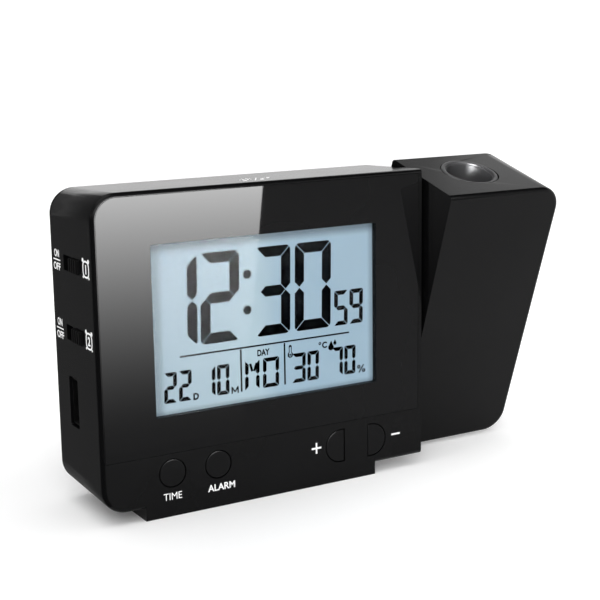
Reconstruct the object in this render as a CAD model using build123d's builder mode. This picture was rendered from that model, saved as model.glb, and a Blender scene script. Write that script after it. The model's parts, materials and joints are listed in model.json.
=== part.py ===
from build123d import *
import os
from math import cos, radians, sin

# Projection alarm clock: a main case with a display and a full-height projector arm that swivels
# on its right-hand end. Millimetres. +X runs from the case to the arm, the front faces -Y, +Z is up.
# The origin is the centre of the foot's flat underside.
#
# Every piece is placed in one of two frames, CASE and ARM. Both have their origin at the lower left
# corner of the front face, with u to the right, d back from the front face and v up. ARM is
# turned about the swivel axis by arm_tilt.

os.makedirs("parts", exist_ok=True)

# ---------------------------------------------------------------- driving dimensions: case
body_w = 105.0          # main case, left side to the swivel plane
body_h = 88.0           # underside to top, at the front
body_d = 31.6           # front face to back face
back_lean = 1.25        # how far top and underside close in towards the back
corner_r = 7.2          # outer corners seen from the front
edge_r = 1.2            # rounding round the front face
back_edge_r = 1.4       # rounding round the back face
wall = 2.0
joint_wall = 2.2        # the wall that carries the swivel
strip_wall = 2.0        # front wall of the button strip
strip_ledge = 0.5       # solid band left between the strip's coring and the panel's seat
fit = 0.1               # all-round clearance of pieces that drop into a seat
foot_w = 75.5
foot_h = 3.5
foot_back = 0.1         # foot's back edge to the parting line
foot_inset = 12.5       # left side of the case to the foot
foot_floor = 1.8
foot_rib_t = 1.2
foot_ribs = 4
seam_from_back = 2.2    # parting line between housing and cover
lip_t = 1.2
lip_h = 2.0
cover_t = 2.0
cover_rib_t = 1.0       # stiffening ribs inside the two covers
cover_rib_h = 1.6
cover_rib_us = [48.0, 60.0]
arm_rib_u = 31.0

# ---------------------------------------------------------------- driving dimensions: arm
arm_w = 43.2            # swivel plane to the outer side
arm_gap = 1.3           # between case and arm
arm_tilt = 18.6         # at rest, top forward
pivot_d = 15.5
pivot_v = 44.0
trunnion_r = 6.0
trunnion_bore_r = 3.2
root_collar_l = 1.5     # collar at the trunnion's root, inside the arm
root_collar_t = 1.2
flat_depth = 1.0        # flats on the trunnion that key the stop disc
running = 0.05          # radial clearance of a turning or sliding fit
bush_t = 1.15
bush_flange_r = 8.0
bush_flange_t = 1.0
washer_t = 0.8
stop_disc_t = 1.2
stop_lug_r = 12.2
stop_lug_w = 4.0
stop_post_t = 2.6
stop_play = 0.2
circlip_t = 0.8
circlip_depth = 1.3
circlip_reach = 1.4     # outside the trunnion
circlip_mouth = 3.2
trunnion_tail = 1.2     # trunnion beyond the circlip

# ---------------------------------------------------------------- driving dimensions: display
panel_t = 1.5
panel_border = 1.2
seat_r = 0.3            # the panel's three small corners
strip_h = 14.65         # height of the button strip under the panel
window_w = 72.0
window_h = 48.0
window_u = 52.6         # centre of the window
window_v = 49.3
window_corner_r = 0.4
lcd_setback = 2.2       # front face to the display glass
lcd_margin = 2.0        # display glass beyond the window, left, right and top
lcd_ledge = 2.6         # and below it, where its contacts are
lcd_t = 2.0
front_wall = 1.8        # housing wall behind the panel
guide_t = 2.4
guide_margin = 0.8
tray_wall = 1.2
tray_floor = 1.0
contact_strip_t = 1.6
contact_strip_inset = 6.0   # display glass beyond each end of the strip
led_w = 4.0
led_t = 0.9
led_pitch = 22.0
board_t = 1.6
board_clear = 0.8       # board edge to the case walls and bosses
board_screw_side = 4.0  # board screws from the board's sides
board_screw_top = 3.4   # from its top edge
board_screw_foot_u = 10.0   # the lower left one from the board's left side
board_screw_foot_v = 2.8    # the lower ones above the button strip
chip_size = 13.0
chip_corner_r = 1.0
chip_t = 1.6
chip_draft = 20
header_l = 25.4         # pin header between the two boards
header_t = 2.6
side_board_margin = 3.0 # side board beyond its socket and its upper switch
touch_w = 40.0          # foil under the top, in the middle of the window
touch_t = 0.4

# ---------------------------------------------------------------- driving dimensions: controls
button_r = 3.95
button_v = 9.0
time_u = 20.9
alarm_u = 35.1
half_button_r = 4.85
half_button_flat = 1.3  # straight stretch before the half round
half_button_v = 7.5
plus_u = 77.0           # straight side of the plus button
minus_u = 85.5          # straight side of the minus button
button_gap = 0.25
button_flange = 0.8
button_flange_t = 0.9
button_travel = 0.6
stem_r = 1.5
stem_bite = 0.6         # stem tip inside the switch at rest
stem_play = 0.3         # switch bore round the stem
stem_over = 0.4         # switch bore past the pressed stem
switch_size = 6.0
switch_corner_r = 0.5
switch_h = 3.4
cap_edge_r = 0.3
slot_l = 11.8           # alarm switch recess in the left wall
slot_h = 4.3
slot_d0 = 9.4           # its front end
slot_depth = 1.1
slider_travel = 5.0
slider_gap = 0.3
slider_proud = 0.9
slider_ribs = 4
slider_rib_h = 0.4
neck_l = 2.4
neck_h = 1.4
neck_bite = 1.2         # neck's end inside the switch
alarm1_v = 67.5
alarm2_v = 48.0
slide_switch_l = 10.4
slide_switch_h = 4.6
slide_switch_t = 6.6

# ---------------------------------------------------------------- driving dimensions: power, sound
usb_h = 13.1            # shell of the charging socket, along v
usb_t = 5.7
usb_l = 13.3
usb_shell_t = 0.3
usb_base_t = 1.5        # closed inner end of the socket
usb_d = 18.15
usb_v = 28.3
usb_rim = 0.6           # clearance between the shell and the wall's opening
usb_setback = 0.7
tongue_h = 11.1
tongue_t = 1.9
tongue_setback = 1.6    # behind the shell's mouth
tongue_gap = 0.6        # tongue to the shell's rear wall
tongue_edge = 0.3
side_board_t = 1.2
jack_w = 9.0
jack_h = 10.6
jack_u = 23.0
jack_v = 25.0
jack_nose_r = 4.0
jack_bore_r = 2.75
jack_bore_l = 9.5
jack_pin_r = 1.0
jack_pin_setback = 1.0
cell_r = 5.25
cell_l = 44.5
cell_edge_r = 0.5
nub_r = 1.9             # raised contact at a cell's end
nub_l = 0.9
cell_gap = 0.4
bay_end_room = 2.6      # contact room at each end of a cell
contact_t = 0.4
contact_inset = 0.8     # contact plate inside the cell's outline
dimple_margin = 0.6     # pressed dimple round the nub
dimple_draft = 12
spring_big_r = 3.9
spring_small_r = 2.4
spring_wire = 1.1
spring_turns = 4
bay_wall = 1.5
bay_u = 58.0
bay_v = 24.0
door_t = 1.2
door_gap = 0.2
door_hook_w = 5.0
door_hook_t = 1.0
dish_w = 14.0           # thumb dish in the door
dish_h = 4.0
dish_depth = 0.6
dish_inset = 4.5        # from the door's upper edge
buzzer_r = 8.5
buzzer_t = 4.6
buzzer_u = 76.0
buzzer_v = 65.0
buzzer_rim = 1.0
buzzer_dish = 1.2
sound_hole_r = 0.8
sound_hole_pitch = 2.9
sound_hole_rings = 2
sensor_u = 33.0
sensor_v = 64.0
sensor_w = 9.0
sensor_t = 2.0
sensor_cap_r = 2.6
sensor_cap_t = 1.6
air_slots = 6
air_slot_l = 12.0
air_slot_w = 1.4
air_slot_pitch = 3.2

# ---------------------------------------------------------------- driving dimensions: projector
lens_u = 18.6
lens_d = 16.7
ring_r = 8.8
ring_gap = 0.3
ring_mouth_r = 7.7
ring_throat_r = 6.5
ring_bell_l = 6.0
ring_bore_r = 5.9
ring_skirt_r = 8.2
ring_skirt_l = 10.0
ring_flange_r = 9.9
ring_flange_t = 1.3
ring_edge_r = 0.35
ring_play = 0.3
cell_tube_t = 0.8
cell_foot_t = 1.8
cell_stop_w = 0.7       # ledge that the lens rests on
lens_edge_t = 1.2
lens_bulge = 1.5
key_w = 2.0
key_reach = 0.8
focus_travel = 1.2
barrel_bore_r = 7.4
barrel_t = 1.2
collar_t = 1.5
lamp_gap = 3.8          # from the lamp's top to the condenser's dome
ear_reach = 11.4
ear_r = 2.5
ear_t = 2.0
ear_v = 60.0
shelf_v = 59.0
shelf_t = 1.4
shelf_hole = 7.6
condenser_edge_t = 1.4
condenser_bulge = 2.8
film_size = 10.2
film_t = 1.4
led_board_w = 19.0
led_board_d = 18.0
led_board_t = 1.6
lamp_size = 3.6
lamp_base_h = 1.0
lamp_dome_r = 1.5
lamp_dome_h = 1.0
lamp_draft = 25
lead_r = 1.4
lead_run = 6.0          # lead between the trunnion and its socket
socket_w = 6.0
plug_w = 6.0
plug_h = 9.0
plug_t = 8.0

# ---------------------------------------------------------------- driving dimensions: screws
screw_r = 1.1
screw_head_r = 2.0
screw_head_h = 1.4
boss_r = 3.0
boss_in_wall = 0.5      # how far a boss beside a side wall runs into it
boss_past_corner = 0.3  # cover screws further in than the corner's centre
head_rounding = 0.4     # share of a screw head's height that is rounded
small_screw_r = 0.85
small_head_r = 1.6
small_head_h = 1.0
small_boss_r = 2.2
pilot_play = 0.05
pilot_spare = 1.0       # pilot hole beyond the screw's tip
thread_bite = 6.0
small_pilot_in_wall = 0.4

# ---------------------------------------------------------------- depths and places that follow
seam_d = body_d - seam_from_back
foot_d = seam_d - foot_back
cover_inner = body_d - cover_t
front_inner = panel_t + front_wall
lcd_back = lcd_setback + lcd_t
guide_back = lcd_back + guide_t
board_front = guide_back + tray_floor
board_back = board_front + board_t
lcd_w = window_w + 2 * lcd_margin
lcd_h = window_h + lcd_margin + lcd_ledge
lcd_v = window_v + (lcd_margin - lcd_ledge) / 2
tray_w = lcd_w + 2 * (fit + tray_wall)
tray_h = lcd_h + 2 * (fit + tray_wall)
trunnion_end = joint_wall + bush_flange_t + washer_t + stop_disc_t + circlip_t + 2 * fit + trunnion_tail
side_board_u = usb_setback + usb_l
lamp_h = lamp_base_h + lamp_dome_h
barrel_foot_v = shelf_v - condenser_edge_t - condenser_bulge - lamp_gap - lamp_h
board_left = side_board_u + side_board_t + board_clear
board_right = body_w - trunnion_end - 3 * board_clear
board_low = wall + 2 * board_clear
board_high = body_h - back_lean - wall - board_clear
cover_boss_t = 1.6
door_inner = body_d - door_t
cell_d = door_inner - 2 * door_gap - cell_r
bay_l = cell_l + 2 * bay_end_room
bay_h = 4 * cell_r + 3 * cell_gap
bay_floor = cell_d - cell_r - cell_gap
slider_l = slot_l - 2 * slider_gap - slider_travel
slider_h = slot_h - 2 * slider_gap
slider_d = slot_d0 + slider_gap + slider_l / 2
switch_mid_d = slider_d + slider_travel / 2
case_corner = corner_r + boss_past_corner
cover_bosses = [
    (case_corner, case_corner),
    (case_corner, body_h - case_corner),
    (body_w - case_corner, case_corner),
    (body_w - case_corner, body_h - case_corner),
]
board_bosses = [
    (board_left + board_screw_side, board_high - board_screw_top),
    (board_right - board_screw_side, board_high - board_screw_top),
    (board_left + board_screw_foot_u, strip_h + board_screw_foot_v),
    (board_right - board_screw_side, strip_h + board_screw_foot_v),
]

# ---------------------------------------------------------------- frames
CASE = Plane(origin=(-foot_w / 2 - foot_inset, -foot_d / 2, foot_h), x_dir=(1, 0, 0), z_dir=(0, 0, 1))
arm_up = (0, -sin(radians(arm_tilt)), cos(radians(arm_tilt)))
HINGE = Plane(
    origin=CASE.from_local_coords((body_w, pivot_d, pivot_v)), x_dir=(1, 0, 0), z_dir=arm_up
)
ARM = Plane(
    origin=HINGE.from_local_coords((arm_gap, -pivot_d, -pivot_v)), x_dir=(1, 0, 0), z_dir=arm_up
)
arm_inner_w = arm_w - arm_gap


def front_of(frame, d):
    """Plane parallel to the front face at depth d, drawn in (u, v). Minus is further back."""
    return Plane(
        origin=frame.from_local_coords((0, d, 0)), x_dir=frame.x_dir, z_dir=frame.y_dir * -1
    )


def back_of(frame, d):
    """The same plane seen from behind, drawn in (-u, v). Plus is further back."""
    return Plane(
        origin=frame.from_local_coords((0, d, 0)), x_dir=frame.x_dir * -1, z_dir=frame.y_dir
    )


def side_of(frame, u):
    """Plane parallel to the sides at u, drawn in (d, v). Plus is to the right."""
    return Plane(origin=frame.from_local_coords((u, 0, 0)), x_dir=frame.y_dir, z_dir=frame.x_dir)


def level_of(frame, v):
    """Plane parallel to the underside at height v, drawn in (u, d). Plus is up."""
    return frame.offset(v)


def across(frame):
    return Axis(frame.origin, frame.x_dir)


def inward(frame):
    return Axis(frame.origin, frame.y_dir)


def upward(frame):
    return Axis(frame.origin, frame.z_dir)


def lean(d):
    """How far top and underside have closed in at depth d."""
    return back_lean * d / body_d


def case_block(frame, u0, u1, d0, d1, inset, rounded_end):
    """Block of the case's own section, inset all round, with two long edges rounded.

    rounded_end is 0 for the left-hand edges and -1 for the right-hand ones.
    """
    with BuildPart() as block:
        with BuildSketch(side_of(frame, u0)):
            with BuildLine():
                Polyline(
                    (d0, inset + lean(d0)),
                    (d1, inset + lean(d1)),
                    (d1, body_h - inset - lean(d1)),
                    (d0, body_h - inset - lean(d0)),
                    close=True,
                )
            make_face()
        extrude(amount=u1 - u0)
        end_edges = block.edges().group_by(across(frame))[rounded_end].sort_by(upward(frame))
        fillet([end_edges[0], end_edges[-1]], radius=corner_r - inset)
    return block.part


def rounded_front(frame, block, keep_end, radius):
    """The block with its front edges rounded, except the one at the swivel."""
    with BuildPart() as rounded:
        add(block)
        front_edges = rounded.faces().sort_by(inward(frame))[0].edges().sort_by(across(frame))
        fillet(front_edges[1:] if keep_end == 0 else front_edges[:-1], radius=radius)
    return rounded.part


def screw_group(plane, places, shank_r, head_r, head_h, length):
    """Pan-head screws at places, with their heads on the plane and their shanks behind it."""
    with BuildPart() as screws:
        with BuildSketch(plane):
            with Locations(*places):
                Circle(head_r)
        extrude(amount=head_h)
        fillet(screws.edges().group_by(Axis(plane.origin, plane.z_dir))[-1], radius=head_h * head_rounding)
        with BuildSketch(plane):
            with Locations(*places):
                Circle(shank_r)
        extrude(amount=-length)
    return screws.part


def half_round(flat_u, v, radius, flat, side, grow):
    """D outline: a straight side at flat_u, then a half round away from it (side is -1 or 1)."""
    arc_u = flat_u + side * flat
    with BuildSketch(mode=Mode.PRIVATE) as outline:
        with BuildLine():
            Polyline(
                (arc_u, v + radius + grow),
                (flat_u - side * grow, v + radius + grow),
                (flat_u - side * grow, v - radius - grow),
                (arc_u, v - radius - grow),
            )
            ThreePointArc(
                (arc_u, v - radius - grow),
                (arc_u + side * (radius + grow), v),
                (arc_u, v + radius + grow),
            )
        make_face()
    return outline.sketch


# ---------------------------------------------------------------- front housing
housing_block = rounded_front(
    CASE, case_block(CASE, 0, body_w, 0, seam_d, 0, 0), keep_end=-1, radius=edge_r
)
housing_hollow = case_block(
    CASE, wall, body_w - joint_wall, front_inner, seam_d + wall, wall, 0
)
foot_left = foot_inset
foot_screw_free = foot_d - 2 * wall

with BuildPart() as front_housing:
    add(housing_block)
    # plinth that the clock stands on, flush with the front face
    with BuildSketch(side_of(CASE, foot_left)):
        with BuildLine():
            Polyline(
                (0, -foot_h),
                (foot_d, -foot_h),
                (foot_d, wall),
                (0, wall),
                close=True,
            )
        make_face()
    extrude(amount=foot_w)
    add(housing_hollow, mode=Mode.SUBTRACT)
    # the strip's own thinner wall, cored from inside
    with BuildSketch(front_of(CASE, strip_wall)):
        with Locations((body_w / 2, (wall + strip_h - strip_ledge) / 2)):
            Rectangle(body_w - 4 * wall, strip_h - strip_ledge - wall)
    extrude(amount=strip_wall - front_inner, mode=Mode.SUBTRACT)
    # plinth cored from inside, with ribs left across it
    with BuildSketch(level_of(CASE, foot_floor - foot_h)):
        with Locations((foot_left + foot_w / 2, foot_d / 2)):
            Rectangle(foot_w - 2 * wall, foot_screw_free)
            with GridLocations(foot_w / (foot_ribs + 1), 0, foot_ribs, 1):
                Rectangle(foot_rib_t, foot_screw_free, mode=Mode.SUBTRACT)
    extrude(amount=foot_h - foot_floor + wall + back_lean, mode=Mode.SUBTRACT)
    # seat of the front panel
    with BuildSketch(front_of(CASE, 0)):
        with BuildLine():
            seat_top = body_h - panel_border
            seat_right = body_w - panel_border
            FilletPolyline(
                (panel_border, strip_h),
                (seat_right, strip_h),
                (seat_right, seat_top),
                (panel_border, seat_top),
                radius=[seat_r, seat_r, seat_r, corner_r - panel_border],
                close=True,
            )
        make_face()
    extrude(amount=-panel_t, mode=Mode.SUBTRACT)
    # sight opening, and the deeper pocket that locates the display glass
    with BuildSketch(front_of(CASE, panel_t)):
        with Locations((window_u, window_v)):
            RectangleRounded(window_w, window_h, window_corner_r)
    extrude(amount=-front_wall, mode=Mode.SUBTRACT)
    with BuildSketch(front_of(CASE, lcd_setback)):
        with Locations((window_u, lcd_v)):
            Rectangle(lcd_w + 2 * fit, lcd_h + 2 * fit)
    extrude(amount=lcd_setback - front_inner, mode=Mode.SUBTRACT)
    # button holes
    with BuildSketch(front_of(CASE, 0)):
        with Locations((time_u, button_v), (alarm_u, button_v)):
            Circle(button_r + button_gap)
        add(half_round(plus_u, half_button_v, half_button_r, half_button_flat, -1, button_gap))
        add(half_round(minus_u, half_button_v, half_button_r, half_button_flat, 1, button_gap))
    extrude(amount=-strip_wall, mode=Mode.SUBTRACT)
    # bosses for the cover screws and the board screws
    with BuildSketch(front_of(CASE, strip_wall)):
        with Locations(*cover_bosses):
            Circle(boss_r)
    extrude(amount=strip_wall - (cover_inner - cover_boss_t))
    with BuildSketch(front_of(CASE, strip_wall)):
        with Locations(*board_bosses):
            Circle(small_boss_r)
    extrude(amount=strip_wall - board_front)
    with BuildSketch(front_of(CASE, cover_inner - cover_boss_t)):
        with Locations(*cover_bosses):
            Circle(screw_r + pilot_play)
    extrude(amount=2 * thread_bite, mode=Mode.SUBTRACT)
    with BuildSketch(front_of(CASE, board_front)):
        with Locations(*board_bosses):
            Circle(small_screw_r + pilot_play)
    extrude(amount=board_front - front_inner + small_pilot_in_wall, mode=Mode.SUBTRACT)
    # alarm switch recesses in the left wall, each with a slot for the slider's neck
    with BuildSketch(side_of(CASE, 0)):
        with Locations(*[(slot_d0 + slot_l / 2, v) for v in (alarm1_v, alarm2_v)]):
            Rectangle(slot_l, slot_h)
    extrude(amount=slot_depth, mode=Mode.SUBTRACT)
    with BuildSketch(side_of(CASE, slot_depth)):
        with Locations(*[(switch_mid_d, v) for v in (alarm1_v, alarm2_v)]):
            Rectangle(slider_travel + neck_l + 2 * slider_gap, neck_h + 2 * slider_gap)
    extrude(amount=wall, mode=Mode.SUBTRACT)
    # charging socket opening
    with BuildSketch(side_of(CASE, 0)):
        with Locations((usb_d, usb_v)):
            RectangleRounded(usb_t + usb_rim, usb_h + 2 * usb_rim, usb_rim)
    extrude(amount=wall, mode=Mode.SUBTRACT)
    # swivel: bush seat and the two stop posts in front of it
    with BuildSketch(side_of(CASE, body_w)):
        with Locations((pivot_d, pivot_v)):
            Circle(trunnion_r + running + bush_t)
    extrude(amount=-joint_wall, mode=Mode.SUBTRACT)
    stop_post_d = pivot_d - stop_lug_w / 2 - stop_play - stop_post_t / 2
    stop_post_v0 = bush_flange_r + 4 * fit
    with BuildSketch(side_of(CASE, body_w - joint_wall)):
        for side in (-1, 1):
            with Locations((stop_post_d, pivot_v + side * (stop_post_v0 + stop_lug_r) / 2)):
                Rectangle(stop_post_t, stop_lug_r - stop_post_v0)
    extrude(amount=-(bush_flange_t + washer_t + stop_disc_t))
front_housing.part.label = "front_housing"
export_step(front_housing.part, "parts/front_housing.step")


def door_outline(width, height, corner):
    """Outline round the bay's centre with rounded upper corners and square lower ones."""
    with BuildSketch(mode=Mode.PRIVATE) as outline:
        with Locations((bay_u, bay_v)):
            RectangleRounded(width, height, corner)
        with Locations((bay_u, bay_v - height / 4)):
            Rectangle(width, height / 2)
    return outline.sketch


# ---------------------------------------------------------------- back cover
with BuildPart() as cover_block:
    add(case_block(CASE, 0, body_w, seam_d, body_d, 0, 0))
    cover_edges = cover_block.faces().sort_by(inward(CASE))[-1].edges().sort_by(across(CASE))
    fillet(cover_edges[:-1], radius=back_edge_r)
cover_hollow = case_block(CASE, wall, body_w - joint_wall, seam_d - lip_h, cover_inner, wall, 0)
lip_outer = case_block(
    CASE, wall + fit, body_w - joint_wall - fit, seam_d - lip_h, cover_inner, wall + fit, 0
)
lip_inner = case_block(
    CASE,
    wall + fit + lip_t,
    body_w - joint_wall - fit - lip_t,
    seam_d - lip_h,
    cover_inner,
    wall + fit + lip_t,
    0,
)
door_w = bay_l + 2 * bay_wall - 2 * door_gap
door_h = bay_h + 2 * bay_wall - 2 * door_gap
door_hook_us = [bay_u - bay_l / 4, bay_u + bay_l / 4]
hook_d1 = door_inner - door_hook_t
hook_d0 = hook_d1 - door_hook_t
hook_slot_d1 = hook_d1 + 3 * door_gap
hook_slot_d0 = hook_d0 - door_gap
bay_bottom_v = bay_v - bay_h / 2
bay_top_v = bay_v + bay_h / 2
lip_top_v = body_h - back_lean - wall - fit - lip_t

with BuildPart() as cover_lip:
    add(lip_outer)
    add(lip_inner, mode=Mode.SUBTRACT)

with BuildPart() as back_cover:
    add(cover_block.part)
    add(cover_hollow, mode=Mode.SUBTRACT)
    add(cover_lip.part)
    # stiffening ribs from the battery bay to the top
    with BuildSketch(front_of(CASE, cover_inner - cover_rib_h)):
        with Locations(*[(u, (bay_top_v + lip_top_v) / 2) for u in cover_rib_us]):
            Rectangle(cover_rib_t, lip_top_v - bay_top_v)
    extrude(amount=-cover_rib_h)
    # battery bay tray
    with BuildSketch(front_of(CASE, bay_floor - bay_wall)):
        with Locations((bay_u, bay_v)):
            RectangleRounded(bay_l + 2 * bay_wall, bay_h + 2 * bay_wall, bay_wall)
    extrude(amount=bay_floor - bay_wall - cover_inner)
    with BuildSketch(front_of(CASE, bay_floor)):
        with Locations((bay_u, bay_v)):
            Rectangle(bay_l, bay_h)
    extrude(amount=bay_floor - body_d, mode=Mode.SUBTRACT)
    with BuildSketch(front_of(CASE, door_inner)):
        add(door_outline(bay_l + 2 * bay_wall, bay_h + 2 * bay_wall, bay_wall))
    extrude(amount=-door_t, mode=Mode.SUBTRACT)
    # low rib between the cells, and the slots that take the door's hooks
    with BuildSketch(front_of(CASE, bay_floor)):
        with Locations((bay_u, bay_v)):
            Rectangle(bay_l / 2, cell_gap)
    extrude(amount=-cell_r / 2)
    with BuildSketch(front_of(CASE, hook_slot_d0)):
        with Locations(*[(u, bay_bottom_v - bay_wall / 2) for u in door_hook_us]):
            Rectangle(door_hook_w + 4 * door_gap, bay_wall)
    extrude(amount=hook_slot_d0 - hook_slot_d1, mode=Mode.SUBTRACT)
    # screw bosses with sunk heads
    with BuildSketch(front_of(CASE, cover_inner - cover_boss_t)):
        with Locations(*cover_bosses):
            Circle(boss_r)
    extrude(amount=-cover_boss_t)
    with BuildSketch(front_of(CASE, cover_inner - cover_boss_t)):
        with Locations(*cover_bosses):
            Circle(screw_r + 2 * fit)
    extrude(amount=-(cover_boss_t + cover_t), mode=Mode.SUBTRACT)
    with BuildSketch(front_of(CASE, cover_inner)):
        with Locations(*cover_bosses):
            Circle(screw_head_r + 3 * fit)
    extrude(amount=-cover_t, mode=Mode.SUBTRACT)
    # power inlet hole
    with BuildSketch(front_of(CASE, cover_inner)):
        with Locations((jack_u, jack_v)):
            Circle(jack_nose_r + 2 * fit)
    extrude(amount=-cover_t, mode=Mode.SUBTRACT)
    # buzzer ring and the sound holes behind it
    with BuildSketch(front_of(CASE, cover_inner - buzzer_t)):
        with Locations((buzzer_u, buzzer_v)):
            Circle(buzzer_r + fit + lip_t)
            Circle(buzzer_r + fit, mode=Mode.SUBTRACT)
    extrude(amount=-buzzer_t)
    with BuildSketch(front_of(CASE, cover_inner)):
        with Locations((buzzer_u, buzzer_v)):
            Circle(sound_hole_r)
            for ring in range(1, sound_hole_rings + 1):
                with PolarLocations(ring * sound_hole_pitch, 6 * ring):
                    Circle(sound_hole_r)
    extrude(amount=-cover_t, mode=Mode.SUBTRACT)
    # air slots in front of the climate sensor
    with BuildSketch(front_of(CASE, cover_inner)):
        with Locations((sensor_u, sensor_v)):
            with GridLocations(air_slot_pitch, 0, air_slots, 1):
                SlotOverall(air_slot_l, air_slot_w, rotation=90)
    extrude(amount=-cover_t, mode=Mode.SUBTRACT)
back_cover.part.label = "back_cover"
export_step(back_cover.part, "parts/back_cover.step")

# ---------------------------------------------------------------- front panel and its clear window
with BuildPart() as front_panel:
    with BuildSketch(front_of(CASE, 0)):
        with BuildLine():
            FilletPolyline(
                (panel_border + fit, strip_h + fit),
                (seat_right - fit, strip_h + fit),
                (seat_right - fit, seat_top - fit),
                (panel_border + fit, seat_top - fit),
                radius=[seat_r, seat_r, seat_r, corner_r - panel_border - fit],
                close=True,
            )
        make_face()
        with Locations((window_u, window_v)):
            RectangleRounded(window_w, window_h, window_corner_r, mode=Mode.SUBTRACT)
    extrude(amount=-panel_t)
front_panel.part.label = "front_panel"
export_step(front_panel.part, "parts/front_panel.step")

with BuildPart() as lcd_window:
    with BuildSketch(front_of(CASE, 0)):
        with Locations((window_u, window_v)):
            RectangleRounded(window_w - fit / 2, window_h - fit / 2, window_corner_r)
    extrude(amount=-panel_t)
lcd_window.part.label = "lcd_window"
export_step(lcd_window.part, "parts/lcd_window.step")

# ---------------------------------------------------------------- display stack
with BuildPart() as lcd_glass:
    with BuildSketch(front_of(CASE, lcd_setback)):
        with Locations((window_u, lcd_v)):
            Rectangle(lcd_w, lcd_h)
    extrude(amount=-lcd_t / 2)
    # the rear sheet stops short of the contact ledge
    with BuildSketch(front_of(CASE, lcd_setback + lcd_t / 2)):
        with Locations((window_u, lcd_v + contact_strip_t / 2)):
            Rectangle(lcd_w, lcd_h - contact_strip_t)
    extrude(amount=-lcd_t / 2)
lcd_glass.part.label = "lcd_glass"
export_step(lcd_glass.part, "parts/lcd_glass.step")

guide_w = window_w + 2 * guide_margin
guide_h = window_h + 2 * guide_margin
with BuildPart() as light_guide:
    with BuildSketch(front_of(CASE, lcd_back)):
        with Locations((window_u, window_v)):
            Rectangle(guide_w, guide_h)
    extrude(amount=-guide_t)
light_guide.part.label = "light_guide"
export_step(light_guide.part, "parts/light_guide.step")

led_us = [window_u + i * led_pitch for i in (-1, 0, 1)]
led_v = window_v + guide_h / 2 + led_t / 2 + fit
strip_v = lcd_v - lcd_h / 2 + contact_strip_t / 2
strip_w = lcd_w - 2 * contact_strip_inset

with BuildPart() as lcd_frame:
    with BuildSketch(front_of(CASE, front_inner)):
        with Locations((window_u, lcd_v)):
            Rectangle(tray_w, tray_h)
            Rectangle(lcd_w + 2 * fit, lcd_h + 2 * fit, mode=Mode.SUBTRACT)
    extrude(amount=front_inner - guide_back)
    with BuildSketch(front_of(CASE, guide_back)):
        with Locations((window_u, lcd_v)):
            Rectangle(tray_w, tray_h)
    extrude(amount=-tray_floor)
    # slots for the contact strip and the backlight diodes
    with BuildSketch(front_of(CASE, guide_back)):
        with Locations((window_u, strip_v)):
            Rectangle(strip_w + 2 * fit, contact_strip_t + 2 * fit)
        with Locations(*[(u, led_v) for u in led_us]):
            Rectangle(led_w + 4 * fit, led_t + 2 * fit)
    extrude(amount=-tray_floor, mode=Mode.SUBTRACT)
lcd_frame.part.label = "lcd_frame"
export_step(lcd_frame.part, "parts/lcd_frame.step")

with BuildPart() as backlight_leds:
    with BuildSketch(front_of(CASE, lcd_back + 2 * fit)):
        with Locations(*[(u, led_v) for u in led_us]):
            Rectangle(led_w, led_t)
    extrude(amount=lcd_back + 2 * fit - board_front)
backlight_leds.part.label = "backlight_leds"
export_step(backlight_leds.part, "parts/backlight_leds.step")

with BuildPart() as contact_strip:
    with BuildSketch(front_of(CASE, lcd_setback + lcd_t / 2)):
        with Locations((window_u, strip_v)):
            Rectangle(strip_w, contact_strip_t - fit)
    extrude(amount=lcd_setback + lcd_t / 2 - board_front)
contact_strip.part.label = "contact_strip"
export_step(contact_strip.part, "parts/contact_strip.step")

# ---------------------------------------------------------------- boards
with BuildPart() as main_board:
    with BuildSketch(front_of(CASE, board_front)):
        with Locations(((board_left + board_right) / 2, (board_low + board_high) / 2)):
            Rectangle(board_right - board_left, board_high - board_low)
        with Locations(*board_bosses):
            Circle(small_screw_r + 2 * fit, mode=Mode.SUBTRACT)
        with Locations(*cover_bosses):
            Circle(boss_r + board_clear, mode=Mode.SUBTRACT)
    extrude(amount=-board_t)
main_board.part.label = "main_board"
export_step(main_board.part, "parts/main_board.step")

with BuildPart() as controller_chip:
    with BuildSketch(front_of(CASE, board_back)):
        with Locations((window_u, window_v + window_h / 4)):
            RectangleRounded(chip_size, chip_size, chip_corner_r)
    extrude(amount=-chip_t, taper=chip_draft)
controller_chip.part.label = "controller_chip"
export_step(controller_chip.part, "parts/controller_chip.step")

board_screws = screw_group(
    back_of(CASE, board_back),
    [(-u, v) for u, v in board_bosses],
    small_screw_r,
    small_head_r,
    small_head_h,
    board_t + board_front - front_inner - 2 * fit,
)
board_screws.label = "board_screws"
export_step(board_screws, "parts/board_screws.step")

side_board_d0 = board_back + 2 * board_clear
side_board_d1 = seam_d - lip_h - board_clear
side_board_v0 = usb_v - usb_h / 2 - side_board_margin
side_board_v1 = alarm1_v + slide_switch_h / 2 + side_board_margin
with BuildPart() as side_board:
    with BuildSketch(side_of(CASE, side_board_u)):
        with Locations(
            ((side_board_d0 + side_board_d1) / 2, (side_board_v0 + side_board_v1) / 2)
        ):
            Rectangle(side_board_d1 - side_board_d0, side_board_v1 - side_board_v0)
    extrude(amount=side_board_t)
side_board.part.label = "side_board"
export_step(side_board.part, "parts/side_board.step")

# pin header that carries the side board on the main board
header_u = side_board_u + side_board_t + header_t / 2
with BuildPart() as board_link:
    with BuildSketch(front_of(CASE, board_back)):
        with Locations((header_u, (side_board_v0 + side_board_v1) / 2)):
            Rectangle(header_t, header_l)
    extrude(amount=-header_t)
board_link.part.label = "board_link"
export_step(board_link.part, "parts/board_link.step")

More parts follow.
